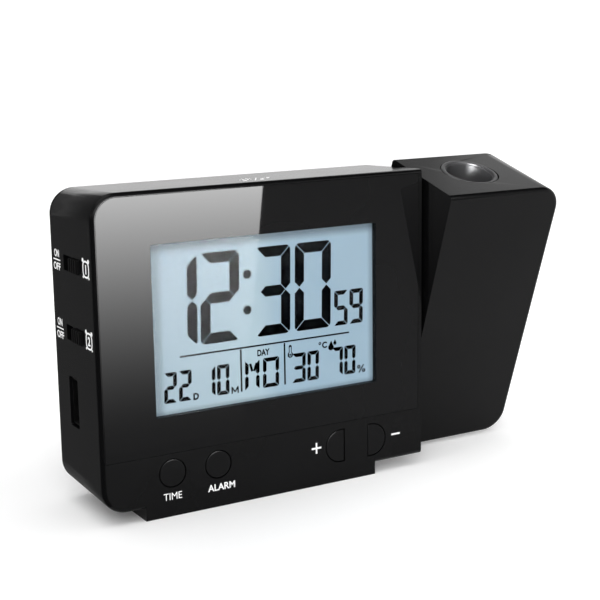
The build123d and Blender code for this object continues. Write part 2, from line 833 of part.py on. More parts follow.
# ---------------------------------------------------------------- button switches on the board
switch_front = board_front - switch_h
stem_tip = switch_front + stem_bite
switch_places = [
    (time_u, button_v),
    (alarm_u, button_v),
    (plus_u - half_button_flat - half_button_r / 2, half_button_v),
    (minus_u + half_button_flat + half_button_r / 2, half_button_v),
]
with BuildPart() as button_switches:
    with BuildSketch(front_of(CASE, switch_front)):
        with Locations(*switch_places):
            RectangleRounded(switch_size, switch_size, switch_corner_r)
    extrude(amount=-switch_h)
    with BuildSketch(front_of(CASE, switch_front)):
        with Locations(*switch_places):
            Circle(stem_r + stem_play)
    extrude(amount=-(stem_bite + button_travel + stem_over), mode=Mode.SUBTRACT)
button_switches.part.label = "button_switches"
export_step(button_switches.part, "parts/button_switches.step")


def button(cap, flange, place):
    """Push button: a cap flush with the strip, a flange behind the wall and a stem to its switch."""
    with BuildPart() as piece:
        with BuildSketch(front_of(CASE, 0)):
            add(cap)
        extrude(amount=-(strip_wall + fit))
        fillet(piece.faces().sort_by(inward(CASE))[0].edges(), radius=cap_edge_r)
        with BuildSketch(front_of(CASE, strip_wall + fit)):
            add(flange)
        extrude(amount=-button_flange_t)
        with BuildSketch(front_of(CASE, strip_wall + fit + button_flange_t)):
            with Locations(place):
                Circle(stem_r)
        extrude(amount=strip_wall + fit + button_flange_t - stem_tip)
    return piece.part


def round_outline(u, v, radius):
    with BuildSketch(mode=Mode.PRIVATE) as outline:
        with Locations((u, v)):
            Circle(radius)
    return outline.sketch


def half_flange(flat_u, side):
    """Flange of a half-round button, cut level just above the case's floor."""
    flange_low_v = wall + lean(front_inner) + 2 * fit
    with BuildSketch(mode=Mode.PRIVATE) as outline:
        add(half_round(flat_u, half_button_v, half_button_r, half_button_flat, side, button_flange))
        with Locations((flat_u, flange_low_v + strip_h)):
            Rectangle(body_w, 2 * strip_h, mode=Mode.INTERSECT)
    return outline.sketch


time_button = button(
    round_outline(time_u, button_v, button_r),
    round_outline(time_u, button_v, button_r + button_flange),
    switch_places[0],
)
time_button.label = "time_button"
export_step(time_button, "parts/time_button.step")

alarm_button = button(
    round_outline(alarm_u, button_v, button_r),
    round_outline(alarm_u, button_v, button_r + button_flange),
    switch_places[1],
)
alarm_button.label = "alarm_button"
export_step(alarm_button, "parts/alarm_button.step")

plus_button = button(
    half_round(plus_u, half_button_v, half_button_r, half_button_flat, -1, 0),
    half_flange(plus_u, -1),
    switch_places[2],
)
plus_button.label = "plus_button"
export_step(plus_button, "parts/plus_button.step")

minus_button = button(
    half_round(minus_u, half_button_v, half_button_r, half_button_flat, 1, 0),
    half_flange(minus_u, 1),
    switch_places[3],
)
minus_button.label = "minus_button"
export_step(minus_button, "parts/minus_button.step")

# ---------------------------------------------------------------- alarm switches
switch_can_u = side_board_u - slide_switch_t
neck_end = switch_can_u + neck_bite
slider_base = slider_proud - slider_rib_h
with BuildPart() as slide_switches:
    with BuildSketch(side_of(CASE, switch_can_u)):
        with Locations(*[(switch_mid_d, v) for v in (alarm1_v, alarm2_v)]):
            Rectangle(slide_switch_l, slide_switch_h)
    extrude(amount=slide_switch_t)
    with BuildSketch(side_of(CASE, switch_can_u)):
        with Locations(*[(switch_mid_d, v) for v in (alarm1_v, alarm2_v)]):
            Rectangle(slider_travel + neck_l + 2 * slider_gap, neck_h + 2 * slider_gap)
    extrude(amount=neck_end - switch_can_u + slider_gap, mode=Mode.SUBTRACT)
slide_switches.part.label = "slide_switches"
export_step(slide_switches.part, "parts/slide_switches.step")


def slider(v):
    """Alarm switch slider: a ribbed knob in the recess and a neck through the wall."""
    with BuildPart() as piece:
        with BuildSketch(side_of(CASE, slot_depth - fit)):
            with Locations((slider_d, v)):
                Rectangle(slider_l, slider_h)
        extrude(amount=-(slot_depth - fit + slider_base))
        with BuildSketch(side_of(CASE, -slider_base)):
            with Locations((slider_d, v)):
                with GridLocations(slider_l / slider_ribs, 0, slider_ribs, 1):
                    Rectangle(slider_l / (2 * slider_ribs), slider_h)
        extrude(amount=-slider_rib_h)
        with BuildSketch(side_of(CASE, slot_depth - fit)):
            with Locations((slider_d, v)):
                Rectangle(neck_l, neck_h)
        extrude(amount=neck_end - slot_depth + fit)
    return piece.part


alarm1_slider = slider(alarm1_v)
alarm1_slider.label = "alarm1_slider"
export_step(alarm1_slider, "parts/alarm1_slider.step")

alarm2_slider = slider(alarm2_v)
alarm2_slider.label = "alarm2_slider"
export_step(alarm2_slider, "parts/alarm2_slider.step")

# ---------------------------------------------------------------- charging socket
with BuildPart() as usb_shell:
    with BuildSketch(side_of(CASE, usb_setback)):
        with Locations((usb_d, usb_v)):
            Rectangle(usb_t, usb_h)
    extrude(amount=usb_l)
    with BuildSketch(side_of(CASE, usb_setback)):
        with Locations((usb_d, usb_v)):
            Rectangle(usb_t - 2 * usb_shell_t, usb_h - 2 * usb_shell_t)
    extrude(amount=usb_l - usb_base_t, mode=Mode.SUBTRACT)
usb_shell.part.label = "usb_shell"
export_step(usb_shell.part, "parts/usb_shell.step")

tongue_d = usb_d + usb_t / 2 - usb_shell_t - tongue_gap - tongue_t / 2
with BuildPart() as usb_tongue:
    with BuildSketch(side_of(CASE, usb_setback + tongue_setback)):
        with Locations((tongue_d, usb_v)):
            Rectangle(tongue_t, tongue_h)
    extrude(amount=usb_l - usb_base_t - tongue_setback)
    chamfer(usb_tongue.faces().sort_by(across(CASE))[0].edges(), length=tongue_edge)
usb_tongue.part.label = "usb_tongue"
export_step(usb_tongue.part, "parts/usb_tongue.step")

# ---------------------------------------------------------------- power inlet
with BuildPart() as dc_inlet:
    with BuildSketch(front_of(CASE, board_back)):
        with Locations((jack_u, jack_v)):
            Rectangle(jack_w, jack_h)
    extrude(amount=board_back - cover_inner)
    with BuildSketch(front_of(CASE, cover_inner)):
        with Locations((jack_u, jack_v)):
            Circle(jack_nose_r)
    extrude(amount=-(cover_t - 2 * fit))
    with BuildSketch(front_of(CASE, body_d - 2 * fit)):
        with Locations((jack_u, jack_v)):
            Circle(jack_bore_r)
            Circle(jack_pin_r, mode=Mode.SUBTRACT)
    extrude(amount=jack_bore_l, mode=Mode.SUBTRACT)
    # the pin ends inside the mouth
    with BuildSketch(front_of(CASE, body_d - 2 * fit)):
        with Locations((jack_u, jack_v)):
            Circle(jack_pin_r)
    extrude(amount=jack_pin_setback, mode=Mode.SUBTRACT)
dc_inlet.part.label = "dc_inlet"
export_step(dc_inlet.part, "parts/dc_inlet.step")

# ---------------------------------------------------------------- cells, contacts and door
row_pitch = 2 * cell_r + cell_gap
cell_rows = [(bay_v + row_pitch / 2, 1), (bay_v - row_pitch / 2, -1)]
with BuildPart() as battery_cells:
    for v, way in cell_rows:
        with BuildSketch(side_of(CASE, bay_u - way * cell_l / 2)):
            with Locations((cell_d, v)):
                Circle(cell_r)
        extrude(amount=way * (cell_l - nub_l))
    fillet(battery_cells.edges().filter_by(GeomType.CIRCLE), radius=cell_edge_r)
    for v, way in cell_rows:
        with BuildSketch(side_of(CASE, bay_u + way * (cell_l / 2 - nub_l))):
            with Locations((cell_d, v)):
                Circle(nub_r)
        extrude(amount=way * nub_l)
battery_cells.part.label = "battery_cells"
export_step(battery_cells.part, "parts/battery_cells.step")

contact_size = 2 * (cell_r - contact_inset)
with BuildPart() as battery_plates:
    for v, way in cell_rows:
        with BuildSketch(side_of(CASE, bay_u + way * (bay_l / 2 - contact_t))):
            with Locations((cell_d, v)):
                Rectangle(contact_size, contact_size)
        extrude(amount=way * contact_t)
        # pressed dimple that reaches the cell's nub
        with BuildSketch(side_of(CASE, bay_u + way * (bay_l / 2 - contact_t))):
            with Locations((cell_d, v)):
                Circle(nub_r + dimple_margin)
        extrude(amount=-way * (bay_end_room - contact_t), taper=dimple_draft)
battery_plates.part.label = "battery_plates"
export_step(battery_plates.part, "parts/battery_plates.step")

with BuildPart() as battery_springs:
    for v, way in cell_rows:
        room = bay_end_room - contact_t
        wall_u = bay_u - way * bay_l / 2
        with BuildSketch(side_of(CASE, wall_u)):
            with Locations((cell_d, v)):
                Rectangle(contact_size, contact_size)
        extrude(amount=way * contact_t)
        # closed coils of a conical spring, each turn a ring that rests on the one before
        turn = room / spring_turns
        for i in range(spring_turns):
            shrink = (spring_big_r - spring_small_r) * i / (spring_turns - 1)
            with BuildSketch(side_of(CASE, wall_u + way * (contact_t + i * turn))):
                with Locations((cell_d, v)):
                    Circle(spring_big_r - shrink)
                    Circle(spring_big_r - shrink - spring_wire, mode=Mode.SUBTRACT)
            extrude(amount=way * turn)
battery_springs.part.label = "battery_springs"
export_step(battery_springs.part, "parts/battery_springs.step")

hook_top_v = bay_bottom_v + 2 * door_gap + door_hook_t
hook_low_v = bay_bottom_v - bay_wall + 3 * door_gap
hinge_r = door_t / 2
hinge_d = door_inner + hinge_r
hinge_v = bay_v - door_h / 2 + hinge_r
with BuildPart() as battery_door:
    with BuildSketch(front_of(CASE, door_inner)):
        add(door_outline(door_w, door_h, bay_wall - door_gap))
    extrude(amount=-door_t)
    # the lower edge is fully rounded about the line that the door turns on
    with BuildSketch(side_of(CASE, bay_u - door_w / 2)):
        with Locations((hinge_d, hinge_v - hinge_r)):
            Rectangle(4 * hinge_r, 2 * hinge_r)
        with Locations((hinge_d, hinge_v)):
            Circle(hinge_r, mode=Mode.SUBTRACT)
    extrude(amount=door_w, mode=Mode.SUBTRACT)
    # thumb dish near the latch edge
    with BuildSketch(front_of(CASE, body_d - dish_depth)):
        with Locations((bay_u, bay_v + door_h / 2 - dish_inset)):
            SlotOverall(dish_w, dish_h)
    extrude(amount=-dish_depth, mode=Mode.SUBTRACT)
    # two hooks that reach under the bay's lower edge
    for u in door_hook_us:
        with BuildSketch(side_of(CASE, u - door_hook_w / 2)):
            with BuildLine():
                Polyline(
                    (door_inner, hook_top_v),
                    (hook_d0, hook_top_v),
                    (hook_d0, hook_low_v),
                    (hook_d1, hook_low_v),
                    (hook_d1, bay_bottom_v + 2 * door_gap),
                    (door_inner, bay_bottom_v + 2 * door_gap),
                    close=True,
                )
            make_face()
        extrude(amount=door_hook_w)
battery_door.part.label = "battery_door"
export_step(battery_door.part, "parts/battery_door.step")

# ---------------------------------------------------------------- buzzer, sensor, touch plate
with BuildPart() as buzzer:
    with BuildSketch(front_of(CASE, cover_inner - buzzer_t)):
        with Locations((buzzer_u, buzzer_v)):
            Circle(buzzer_r)
    extrude(amount=-(buzzer_t - 2 * fit))
    with BuildSketch(front_of(CASE, cover_inner - 2 * fit)):
        with Locations((buzzer_u, buzzer_v)):
            Circle(buzzer_r - buzzer_rim)
    extrude(amount=buzzer_dish, mode=Mode.SUBTRACT)
buzzer.part.label = "buzzer"
export_step(buzzer.part, "parts/buzzer.step")

with BuildPart() as climate_sensor:
    with BuildSketch(front_of(CASE, board_back)):
        with Locations((sensor_u, sensor_v)):
            Rectangle(sensor_w, sensor_w)
    extrude(amount=-sensor_t)
    with BuildSketch(front_of(CASE, board_back + sensor_t)):
        with Locations((sensor_u, sensor_v)):
            Circle(sensor_cap_r)
    extrude(amount=-sensor_cap_t)
climate_sensor.part.label = "climate_sensor"
export_step(climate_sensor.part, "parts/climate_sensor.step")

touch_d0 = front_inner + board_clear
touch_d1 = seam_d - lip_h - board_clear
with BuildPart() as touch_plate:
    with BuildSketch(side_of(CASE, window_u - touch_w / 2)):
        with BuildLine():
            roof = body_h - wall
            Polyline(
                (touch_d0, roof - lean(touch_d0)),
                (touch_d1, roof - lean(touch_d1)),
                (touch_d1, roof - lean(touch_d1) - touch_t),
                (touch_d0, roof - lean(touch_d0) - touch_t),
                close=True,
            )
        make_face()
    extrude(amount=touch_w)
touch_plate.part.label = "touch_plate"
export_step(touch_plate.part, "parts/touch_plate.step")

cover_screws = screw_group(
    back_of(CASE, cover_inner),
    [(-u, v) for u, v in cover_bosses],
    screw_r,
    screw_head_r,
    screw_head_h,
    cover_boss_t + thread_bite,
)
cover_screws.label = "cover_screws"
export_step(cover_screws, "parts/cover_screws.step")

# ---------------------------------------------------------------- swivel, case side
with BuildPart() as pivot_bush:
    with BuildSketch(side_of(CASE, body_w)):
        with Locations((pivot_d, pivot_v)):
            Circle(trunnion_r + running + bush_t)
    extrude(amount=-joint_wall)
    with BuildSketch(side_of(CASE, body_w - joint_wall)):
        with Locations((pivot_d, pivot_v)):
            Circle(bush_flange_r)
    extrude(amount=-bush_flange_t)
    with BuildSketch(side_of(CASE, body_w)):
        with Locations((pivot_d, pivot_v)):
            Circle(trunnion_r + running)
    extrude(amount=-(joint_wall + bush_flange_t), mode=Mode.SUBTRACT)
pivot_bush.part.label = "pivot_bush"
export_step(pivot_bush.part, "parts/pivot_bush.step")

# ---------------------------------------------------------------- swivel, arm side
washer_u = -(arm_gap + joint_wall + bush_flange_t)
disc_u = washer_u - washer_t
circlip_u = disc_u - stop_disc_t - fit
trunnion_u = -(arm_gap + trunnion_end)
disc_flat = trunnion_r - flat_depth  # half the distance between the trunnion's two flats

with BuildPart() as spring_washer:
    with BuildSketch(side_of(ARM, washer_u)):
        with Locations((pivot_d, pivot_v)):
            Circle(bush_flange_r - fit)
            Circle(trunnion_r + fit, mode=Mode.SUBTRACT)
    extrude(amount=-washer_t)
spring_washer.part.label = "spring_washer"
export_step(spring_washer.part, "parts/spring_washer.step")

with BuildPart() as stop_disc:
    with BuildSketch(side_of(ARM, disc_u)):
        with Locations((pivot_d, pivot_v)):
            Circle(bush_flange_r)
        with Locations((pivot_d + stop_lug_r / 2, pivot_v)):
            Rectangle(stop_lug_r, stop_lug_w)
        with BuildSketch(mode=Mode.PRIVATE) as keyed_hole:
            with Locations((pivot_d, pivot_v)):
                Circle(trunnion_r + running)
                Rectangle(
                    2 * (trunnion_r + fit), 2 * (disc_flat + running), mode=Mode.INTERSECT
                )
        add(keyed_hole.sketch, mode=Mode.SUBTRACT)
    extrude(amount=-stop_disc_t)
stop_disc.part.label = "stop_disc"
export_step(stop_disc.part, "parts/stop_disc.step")

groove_r = trunnion_r - circlip_depth
with BuildPart() as circlip:
    with BuildSketch(side_of(ARM, circlip_u)):
        with Locations((pivot_d, pivot_v)):
            Circle(trunnion_r + circlip_reach)
            Circle(groove_r + running, mode=Mode.SUBTRACT)
        with Locations((pivot_d - trunnion_r, pivot_v)):
            Rectangle(2 * trunnion_r, circlip_mouth, mode=Mode.SUBTRACT)
    extrude(amount=-circlip_t)
circlip.part.label = "circlip"
export_step(circlip.part, "parts/circlip.step")

# ---------------------------------------------------------------- levels in the arm
flange_top = body_h - back_lean - wall - ring_play
flange_low = flange_top - ring_flange_t
barrel_top = flange_low - fit
ring_rim = body_h - lean(lens_d) + fit
throat_v = ring_rim - ring_bell_l
skirt_low = flange_low - ring_skirt_l
cell_top = throat_v - ring_play - focus_travel
cell_foot_top = skirt_low - ring_play - focus_travel
cell_foot_low = cell_foot_top - cell_foot_t
cell_tube_r = ring_bore_r - running
cell_bore_r = cell_tube_r - cell_tube_t
cell_stop_r = cell_bore_r - cell_stop_w
cell_foot_r = barrel_bore_r - 2 * fit
collar_low = skirt_low - 2 * ring_play
barrel_r = barrel_bore_r + barrel_t
collar_bore_r = ring_skirt_r + 2 * fit
collar_r = collar_bore_r + collar_t

# ---------------------------------------------------------------- arm housing
arm_block = rounded_front(
    ARM, case_block(ARM, 0, arm_inner_w, 0, seam_d, 0, -1), keep_end=0, radius=edge_r
)
arm_hollow = case_block(ARM, wall, arm_inner_w - wall, wall, seam_d + wall, wall, -1)
arm_corner = case_corner
arm_boss_u = wall + boss_r - boss_in_wall
arm_bosses = [
    (arm_inner_w - arm_corner, arm_corner),
    (arm_inner_w - arm_corner, body_h - arm_corner),
    (arm_boss_u, arm_corner),
    (arm_boss_u, ear_v + ear_r + boss_r + board_clear),
]
ear_us = [lens_u - ear_reach, lens_u + ear_reach]
ear_front = lens_d - ear_t / 2

with BuildPart() as arm_housing:
    add(arm_block)
    add(arm_hollow, mode=Mode.SUBTRACT)
    # hollow trunnion with its root collar, flats for the stop disc and a circlip groove
    with BuildSketch(side_of(ARM, wall + root_collar_l)):
        with Locations((pivot_d, pivot_v)):
            Circle(trunnion_r + root_collar_t)
    extrude(amount=-root_collar_l)
    with BuildSketch(side_of(ARM, 0)):
        with Locations((pivot_d, pivot_v)):
            Circle(trunnion_r)
    extrude(amount=trunnion_u)
    with BuildSketch(side_of(ARM, disc_u)):
        with Locations((pivot_d, pivot_v)):
            Circle(trunnion_r + fit)
            Rectangle(2 * trunnion_r + 4 * fit, 2 * disc_flat, mode=Mode.SUBTRACT)
    extrude(amount=trunnion_u - disc_u, mode=Mode.SUBTRACT)
    with BuildSketch(side_of(ARM, circlip_u + fit / 2)):
        with Locations((pivot_d, pivot_v)):
            Circle(trunnion_r + fit)
            Circle(groove_r, mode=Mode.SUBTRACT)
    extrude(amount=-(circlip_t + fit), mode=Mode.SUBTRACT)
    with BuildSketch(side_of(ARM, wall + root_collar_l)):
        with Locations((pivot_d, pivot_v)):
            Circle(trunnion_bore_r)
    extrude(amount=trunnion_u - wall - root_collar_l, mode=Mode.SUBTRACT)
    # hole for the focus ring
    with BuildSketch(level_of(ARM, body_h - back_lean - 2 * wall)):
        with Locations((lens_u, lens_d)):
            Circle(ring_r + ring_gap)
    extrude(amount=back_lean + 3 * wall, mode=Mode.SUBTRACT)
    # bosses for the cover and for the projector barrel
    with BuildSketch(front_of(ARM, wall)):
        with Locations(*arm_bosses):
            Circle(boss_r)
    extrude(amount=wall - (cover_inner - cover_boss_t))
    with BuildSketch(front_of(ARM, wall)):
        with Locations(*[(u, ear_v) for u in ear_us]):
            Circle(small_boss_r)
    extrude(amount=wall - ear_front)
    with BuildSketch(front_of(ARM, cover_inner - cover_boss_t)):
        with Locations(*arm_bosses):
            Circle(screw_r + pilot_play)
    extrude(amount=2 * thread_bite, mode=Mode.SUBTRACT)
    with BuildSketch(front_of(ARM, ear_front)):
        with Locations(*[(u, ear_v) for u in ear_us]):
            Circle(small_screw_r + pilot_play)
    extrude(amount=thread_bite, mode=Mode.SUBTRACT)
arm_housing.part.label = "arm_housing"
export_step(arm_housing.part, "parts/arm_housing.step")

# ---------------------------------------------------------------- arm cover
with BuildPart() as arm_cover_block:
    add(case_block(ARM, 0, arm_inner_w, seam_d, body_d, 0, -1))
    arm_edges = arm_cover_block.faces().sort_by(inward(ARM))[-1].edges().sort_by(across(ARM))
    fillet(arm_edges[1:], radius=back_edge_r)
arm_cover_hollow = case_block(ARM, wall, arm_inner_w - wall, seam_d - lip_h, cover_inner, wall, -1)
arm_lip_outer = case_block(
    ARM, wall + fit, arm_inner_w - wall - fit, seam_d - lip_h, cover_inner, wall + fit, -1
)
arm_lip_inner = case_block(
    ARM,
    wall + fit + lip_t,
    arm_inner_w - wall - fit - lip_t,
    seam_d - lip_h,
    cover_inner,
    wall + fit + lip_t,
    -1,
)
with BuildPart() as arm_lip:
    add(arm_lip_outer)
    add(arm_lip_inner, mode=Mode.SUBTRACT)
    # the lip stops beside the two left-hand bosses
    with BuildSketch(front_of(ARM, seam_d - lip_h)):
        with Locations(*arm_bosses[2:]):
            Circle(boss_r + 3 * fit)
    extrude(amount=-lip_h, mode=Mode.SUBTRACT)
    # and is notched behind the focus ring's flange
    with BuildSketch(level_of(ARM, flange_low - wall)):
        with Locations((lens_u, lens_d)):
            Circle(ring_flange_r + 3 * fit)
    extrude(amount=2 * wall + ring_flange_t, mode=Mode.SUBTRACT)

arm_rib_low_v = back_lean + wall + fit + lip_t
with BuildPart() as arm_cover:
    add(arm_cover_block.part)
    add(arm_cover_hollow, mode=Mode.SUBTRACT)
    add(arm_lip.part)
    # stiffening rib from the underside to the top
    with BuildSketch(front_of(ARM, cover_inner - cover_rib_h)):
        with Locations((arm_rib_u, (arm_rib_low_v + lip_top_v) / 2)):
            Rectangle(cover_rib_t, lip_top_v - arm_rib_low_v)
    extrude(amount=-cover_rib_h)
    with BuildSketch(front_of(ARM, cover_inner - cover_boss_t)):
        with Locations(*arm_bosses):
            Circle(boss_r - boss_in_wall - fit)
    extrude(amount=-cover_boss_t)
    with BuildSketch(front_of(ARM, cover_inner - cover_boss_t)):
        with Locations(*arm_bosses):
            Circle(screw_r + 2 * fit)
    extrude(amount=-(cover_boss_t + cover_t), mode=Mode.SUBTRACT)
    with BuildSketch(front_of(ARM, cover_inner)):
        with Locations(*arm_bosses):
            Circle(screw_head_r + 3 * fit)
    extrude(amount=-cover_t, mode=Mode.SUBTRACT)
arm_cover.part.label = "arm_cover"
export_step(arm_cover.part, "parts/arm_cover.step")

arm_screws = screw_group(
    back_of(ARM, cover_inner),
    [(-u, v) for u, v in arm_bosses],
    screw_r,
    screw_head_r,
    screw_head_h,
    cover_boss_t + thread_bite,
)
arm_screws.label = "arm_screws"
export_step(arm_screws, "parts/arm_screws.step")

# ---------------------------------------------------------------- projector
lens_axis = Axis(ARM.from_local_coords((lens_u, lens_d, 0)), ARM.z_dir)


def turned(points):
    """Solid turned about the lens axis from (radius, v) points of its half section."""
    with BuildPart() as piece:
        with BuildSketch(side_of(ARM, lens_u)):
            with BuildLine():
                Polyline(*[(lens_d + radius, v) for radius, v in points], close=True)
            make_face()
        revolve(axis=lens_axis)
    return piece.part


ring_body = turned(
    [
        (ring_mouth_r, ring_rim),
        (ring_r, ring_rim),
        (ring_r, flange_top),
        (ring_flange_r, flange_top),
        (ring_flange_r, flange_low),
        (ring_skirt_r, flange_low),
        (ring_skirt_r, skirt_low),
        (ring_bore_r, skirt_low),
        (ring_bore_r, throat_v),
        (ring_throat_r, throat_v),
    ]
)
with BuildPart() as focus_ring:
    add(ring_body)
    rim_edges = focus_ring.faces().sort_by(upward(ARM))[-1].edges()
    fillet(rim_edges, radius=ring_edge_r)
focus_ring.part.label = "focus_ring"
export_step(focus_ring.part, "parts/focus_ring.step")

lens_cell_body = turned(
    [
        (cell_bore_r, cell_top),
        (cell_tube_r, cell_top),
        (cell_tube_r, cell_foot_top),
        (cell_foot_r, cell_foot_top),
        (cell_foot_r, cell_foot_low),
        (cell_stop_r, cell_foot_low),
        (cell_stop_r, cell_foot_top),
        (cell_bore_r, cell_foot_top),
    ]
)
with BuildPart() as lens_cell:
    add(lens_cell_body)
    # key that keeps the cell from turning with the ring
    with BuildSketch(level_of(ARM, cell_foot_low)):
        with Locations((lens_u, lens_d - cell_foot_r)):
            Rectangle(key_w, 2 * key_reach)
    extrude(amount=cell_foot_t)
lens_cell.part.label = "lens_cell"
export_step(lens_cell.part, "parts/lens_cell.step")

lens_glass_r = cell_bore_r - fit / 2
lens_mid_v = cell_foot_top + lens_bulge + lens_edge_t / 2


def dome_height(radius, bulge, at):
    """Height above its edge of a spherical face of that radius and bulge, at a radius."""
    sphere_r = (radius**2 + bulge**2) / (2 * bulge)
    return (sphere_r**2 - at**2) ** 0.5 - (sphere_r - bulge)


def lens_solid(radius, mid_v, edge_t, bulge_top, bulge_low):
    """Lens turned about the optical axis: flat or spherical above and below."""
    top_v = mid_v + edge_t / 2
    low_v = mid_v - edge_t / 2
    with BuildPart() as glass:
        with BuildSketch(side_of(ARM, lens_u)):
            with BuildLine():
                if bulge_top:
                    ThreePointArc(
                        (lens_d, top_v + bulge_top),
                        (lens_d + radius / 2, top_v + dome_height(radius, bulge_top, radius / 2)),
                        (lens_d + radius, top_v),
                    )
                else:
                    Line((lens_d, top_v), (lens_d + radius, top_v))
                Line((lens_d + radius, top_v), (lens_d + radius, low_v))
                ThreePointArc(
                    (lens_d + radius, low_v),
                    (lens_d + radius / 2, low_v - dome_height(radius, bulge_low, radius / 2)),
                    (lens_d, low_v - bulge_low),
                )
                Line((lens_d, low_v - bulge_low), (lens_d, top_v + bulge_top))
            make_face()
        revolve(axis=lens_axis)
    return glass.part


projection_lens = lens_solid(lens_glass_r, lens_mid_v, lens_edge_t, lens_bulge, lens_bulge)
projection_lens.label = "projection_lens"
export_step(projection_lens, "parts/projection_lens.step")

barrel_body = turned(
    [
        (collar_bore_r, barrel_top),
        (collar_r, barrel_top),
        (collar_r, collar_low - collar_t),
        (barrel_r, collar_low - 2 * collar_t),
        (barrel_r, barrel_foot_v),
        (barrel_bore_r, barrel_foot_v),
        (barrel_bore_r, collar_low),
        (collar_bore_r, collar_low),
    ]
)
with BuildPart() as projector_barrel:
    add(barrel_body)
    # aperture shelf between the condenser and the film
    with BuildSketch(level_of(ARM, shelf_v)):
        with Locations((lens_u, lens_d)):
            Circle(barrel_bore_r + barrel_t / 2)
            Rectangle(shelf_hole, shelf_hole, mode=Mode.SUBTRACT)
    extrude(amount=shelf_t)
    # keyway for the lens cell
    with BuildSketch(level_of(ARM, cell_foot_low - focus_travel - ring_play)):
        with Locations((lens_u, lens_d - barrel_r)):
            Rectangle(key_w + 4 * fit, 4 * barrel_t)
    extrude(
        amount=collar_low - cell_foot_low + focus_travel + ring_play, mode=Mode.SUBTRACT
    )
    # ears for the two screws
    with BuildSketch(front_of(ARM, ear_front)):
        for u in ear_us:
            with Locations((u, ear_v)):
                Circle(ear_r)
            with Locations(((u + lens_u) / 2, ear_v)):
                Rectangle(ear_reach, 2 * ear_r)
        with Locations((lens_u, ear_v)):
            Rectangle(2 * barrel_bore_r + barrel_t, 2 * ear_r, mode=Mode.SUBTRACT)
        with Locations(*[(u, ear_v) for u in ear_us]):
            Circle(small_screw_r + 2 * fit, mode=Mode.SUBTRACT)
    extrude(amount=-ear_t)
projector_barrel.part.label = "projector_barrel"
export_step(projector_barrel.part, "parts/projector_barrel.step")

barrel_screws = screw_group(
    back_of(ARM, ear_front + ear_t),
    [(-u, ear_v) for u in ear_us],
    small_screw_r,
    small_head_r,
    small_head_h,
    ear_t + thread_bite - pilot_spare,
)
barrel_screws.label = "barrel_screws"
export_step(barrel_screws, "parts/barrel_screws.step")

condenser_lens = lens_solid(
    barrel_bore_r - fit, shelf_v - condenser_edge_t / 2, condenser_edge_t, 0, condenser_bulge
)
condenser_lens.label = "condenser_lens"
export_step(condenser_lens, "parts/condenser_lens.step")

with BuildPart() as image_film:
    with BuildSketch(level_of(ARM, shelf_v + shelf_t)):
        with Locations((lens_u, lens_d)):
            Rectangle(film_size, film_size)
    extrude(amount=film_t)
image_film.part.label = "image_film"
export_step(image_film.part, "parts/image_film.step")

with BuildPart() as lamp_board:
    with BuildSketch(level_of(ARM, barrel_foot_v)):
        with Locations((lens_u, lens_d)):
            Rectangle(led_board_w, led_board_d)
    extrude(amount=-led_board_t)
lamp_board.part.label = "lamp_board"
export_step(lamp_board.part, "parts/lamp_board.step")

with BuildPart() as projector_lamp:
    with BuildSketch(level_of(ARM, barrel_foot_v)):
        with Locations((lens_u, lens_d)):
            Rectangle(lamp_size, lamp_size)
    extrude(amount=lamp_base_h)
    with BuildSketch(level_of(ARM, barrel_foot_v + lamp_base_h)):
        with Locations((lens_u, lens_d)):
            Circle(lamp_dome_r)
    extrude(amount=lamp_dome_h, taper=lamp_draft)
projector_lamp.part.label = "projector_lamp"
export_step(projector_lamp.part, "parts/projector_lamp.step")

# ---------------------------------------------------------------- lead through the trunnion
socket_u0 = wall + root_collar_l + lead_run
socket_low_v = pivot_v - socket_w / 2
socket_top_v = barrel_foot_v - led_board_t
with BuildPart() as lead_socket:
    with BuildSketch(front_of(ARM, pivot_d - socket_w / 2)):
        with Locations((socket_u0 + socket_w / 2, (socket_low_v + socket_top_v) / 2)):
            Rectangle(socket_w, socket_top_v - socket_low_v)
    extrude(amount=-socket_w)
lead_socket.part.label = "lead_socket"
export_step(lead_socket.part, "parts/lead_socket.step")

lead_plug_u = board_right - plug_w
with BuildPart() as projector_lead:
    with BuildSketch(side_of(CASE, lead_plug_u)):
        with Locations((pivot_d, pivot_v)):
            Circle(lead_r)
    extrude(amount=body_w + arm_gap + socket_u0 - ring_play - lead_plug_u)
projector_lead.part.label = "projector_lead"
export_step(projector_lead.part, "parts/projector_lead.step")

with BuildPart() as lead_plug:
    with BuildSketch(front_of(CASE, board_back)):
        with Locations((lead_plug_u - plug_w / 2, pivot_v)):
            Rectangle(plug_w, plug_h)
    extrude(amount=-plug_t)
lead_plug.part.label = "lead_plug"
export_step(lead_plug.part, "parts/lead_plug.step")
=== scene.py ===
"""Dresses the projection alarm clock: finishes, display artwork, prints, turned pieces and a plain studio.

Every piece is placed from the loaded frame. Sizes that a user would change are properties of the scene,
in millimetres where a name ends in _mm, and each group of pieces has an operator of its own.
"""

import json
import math

import bmesh
import bpy
import numpy as np
from mathutils import Matrix, Vector


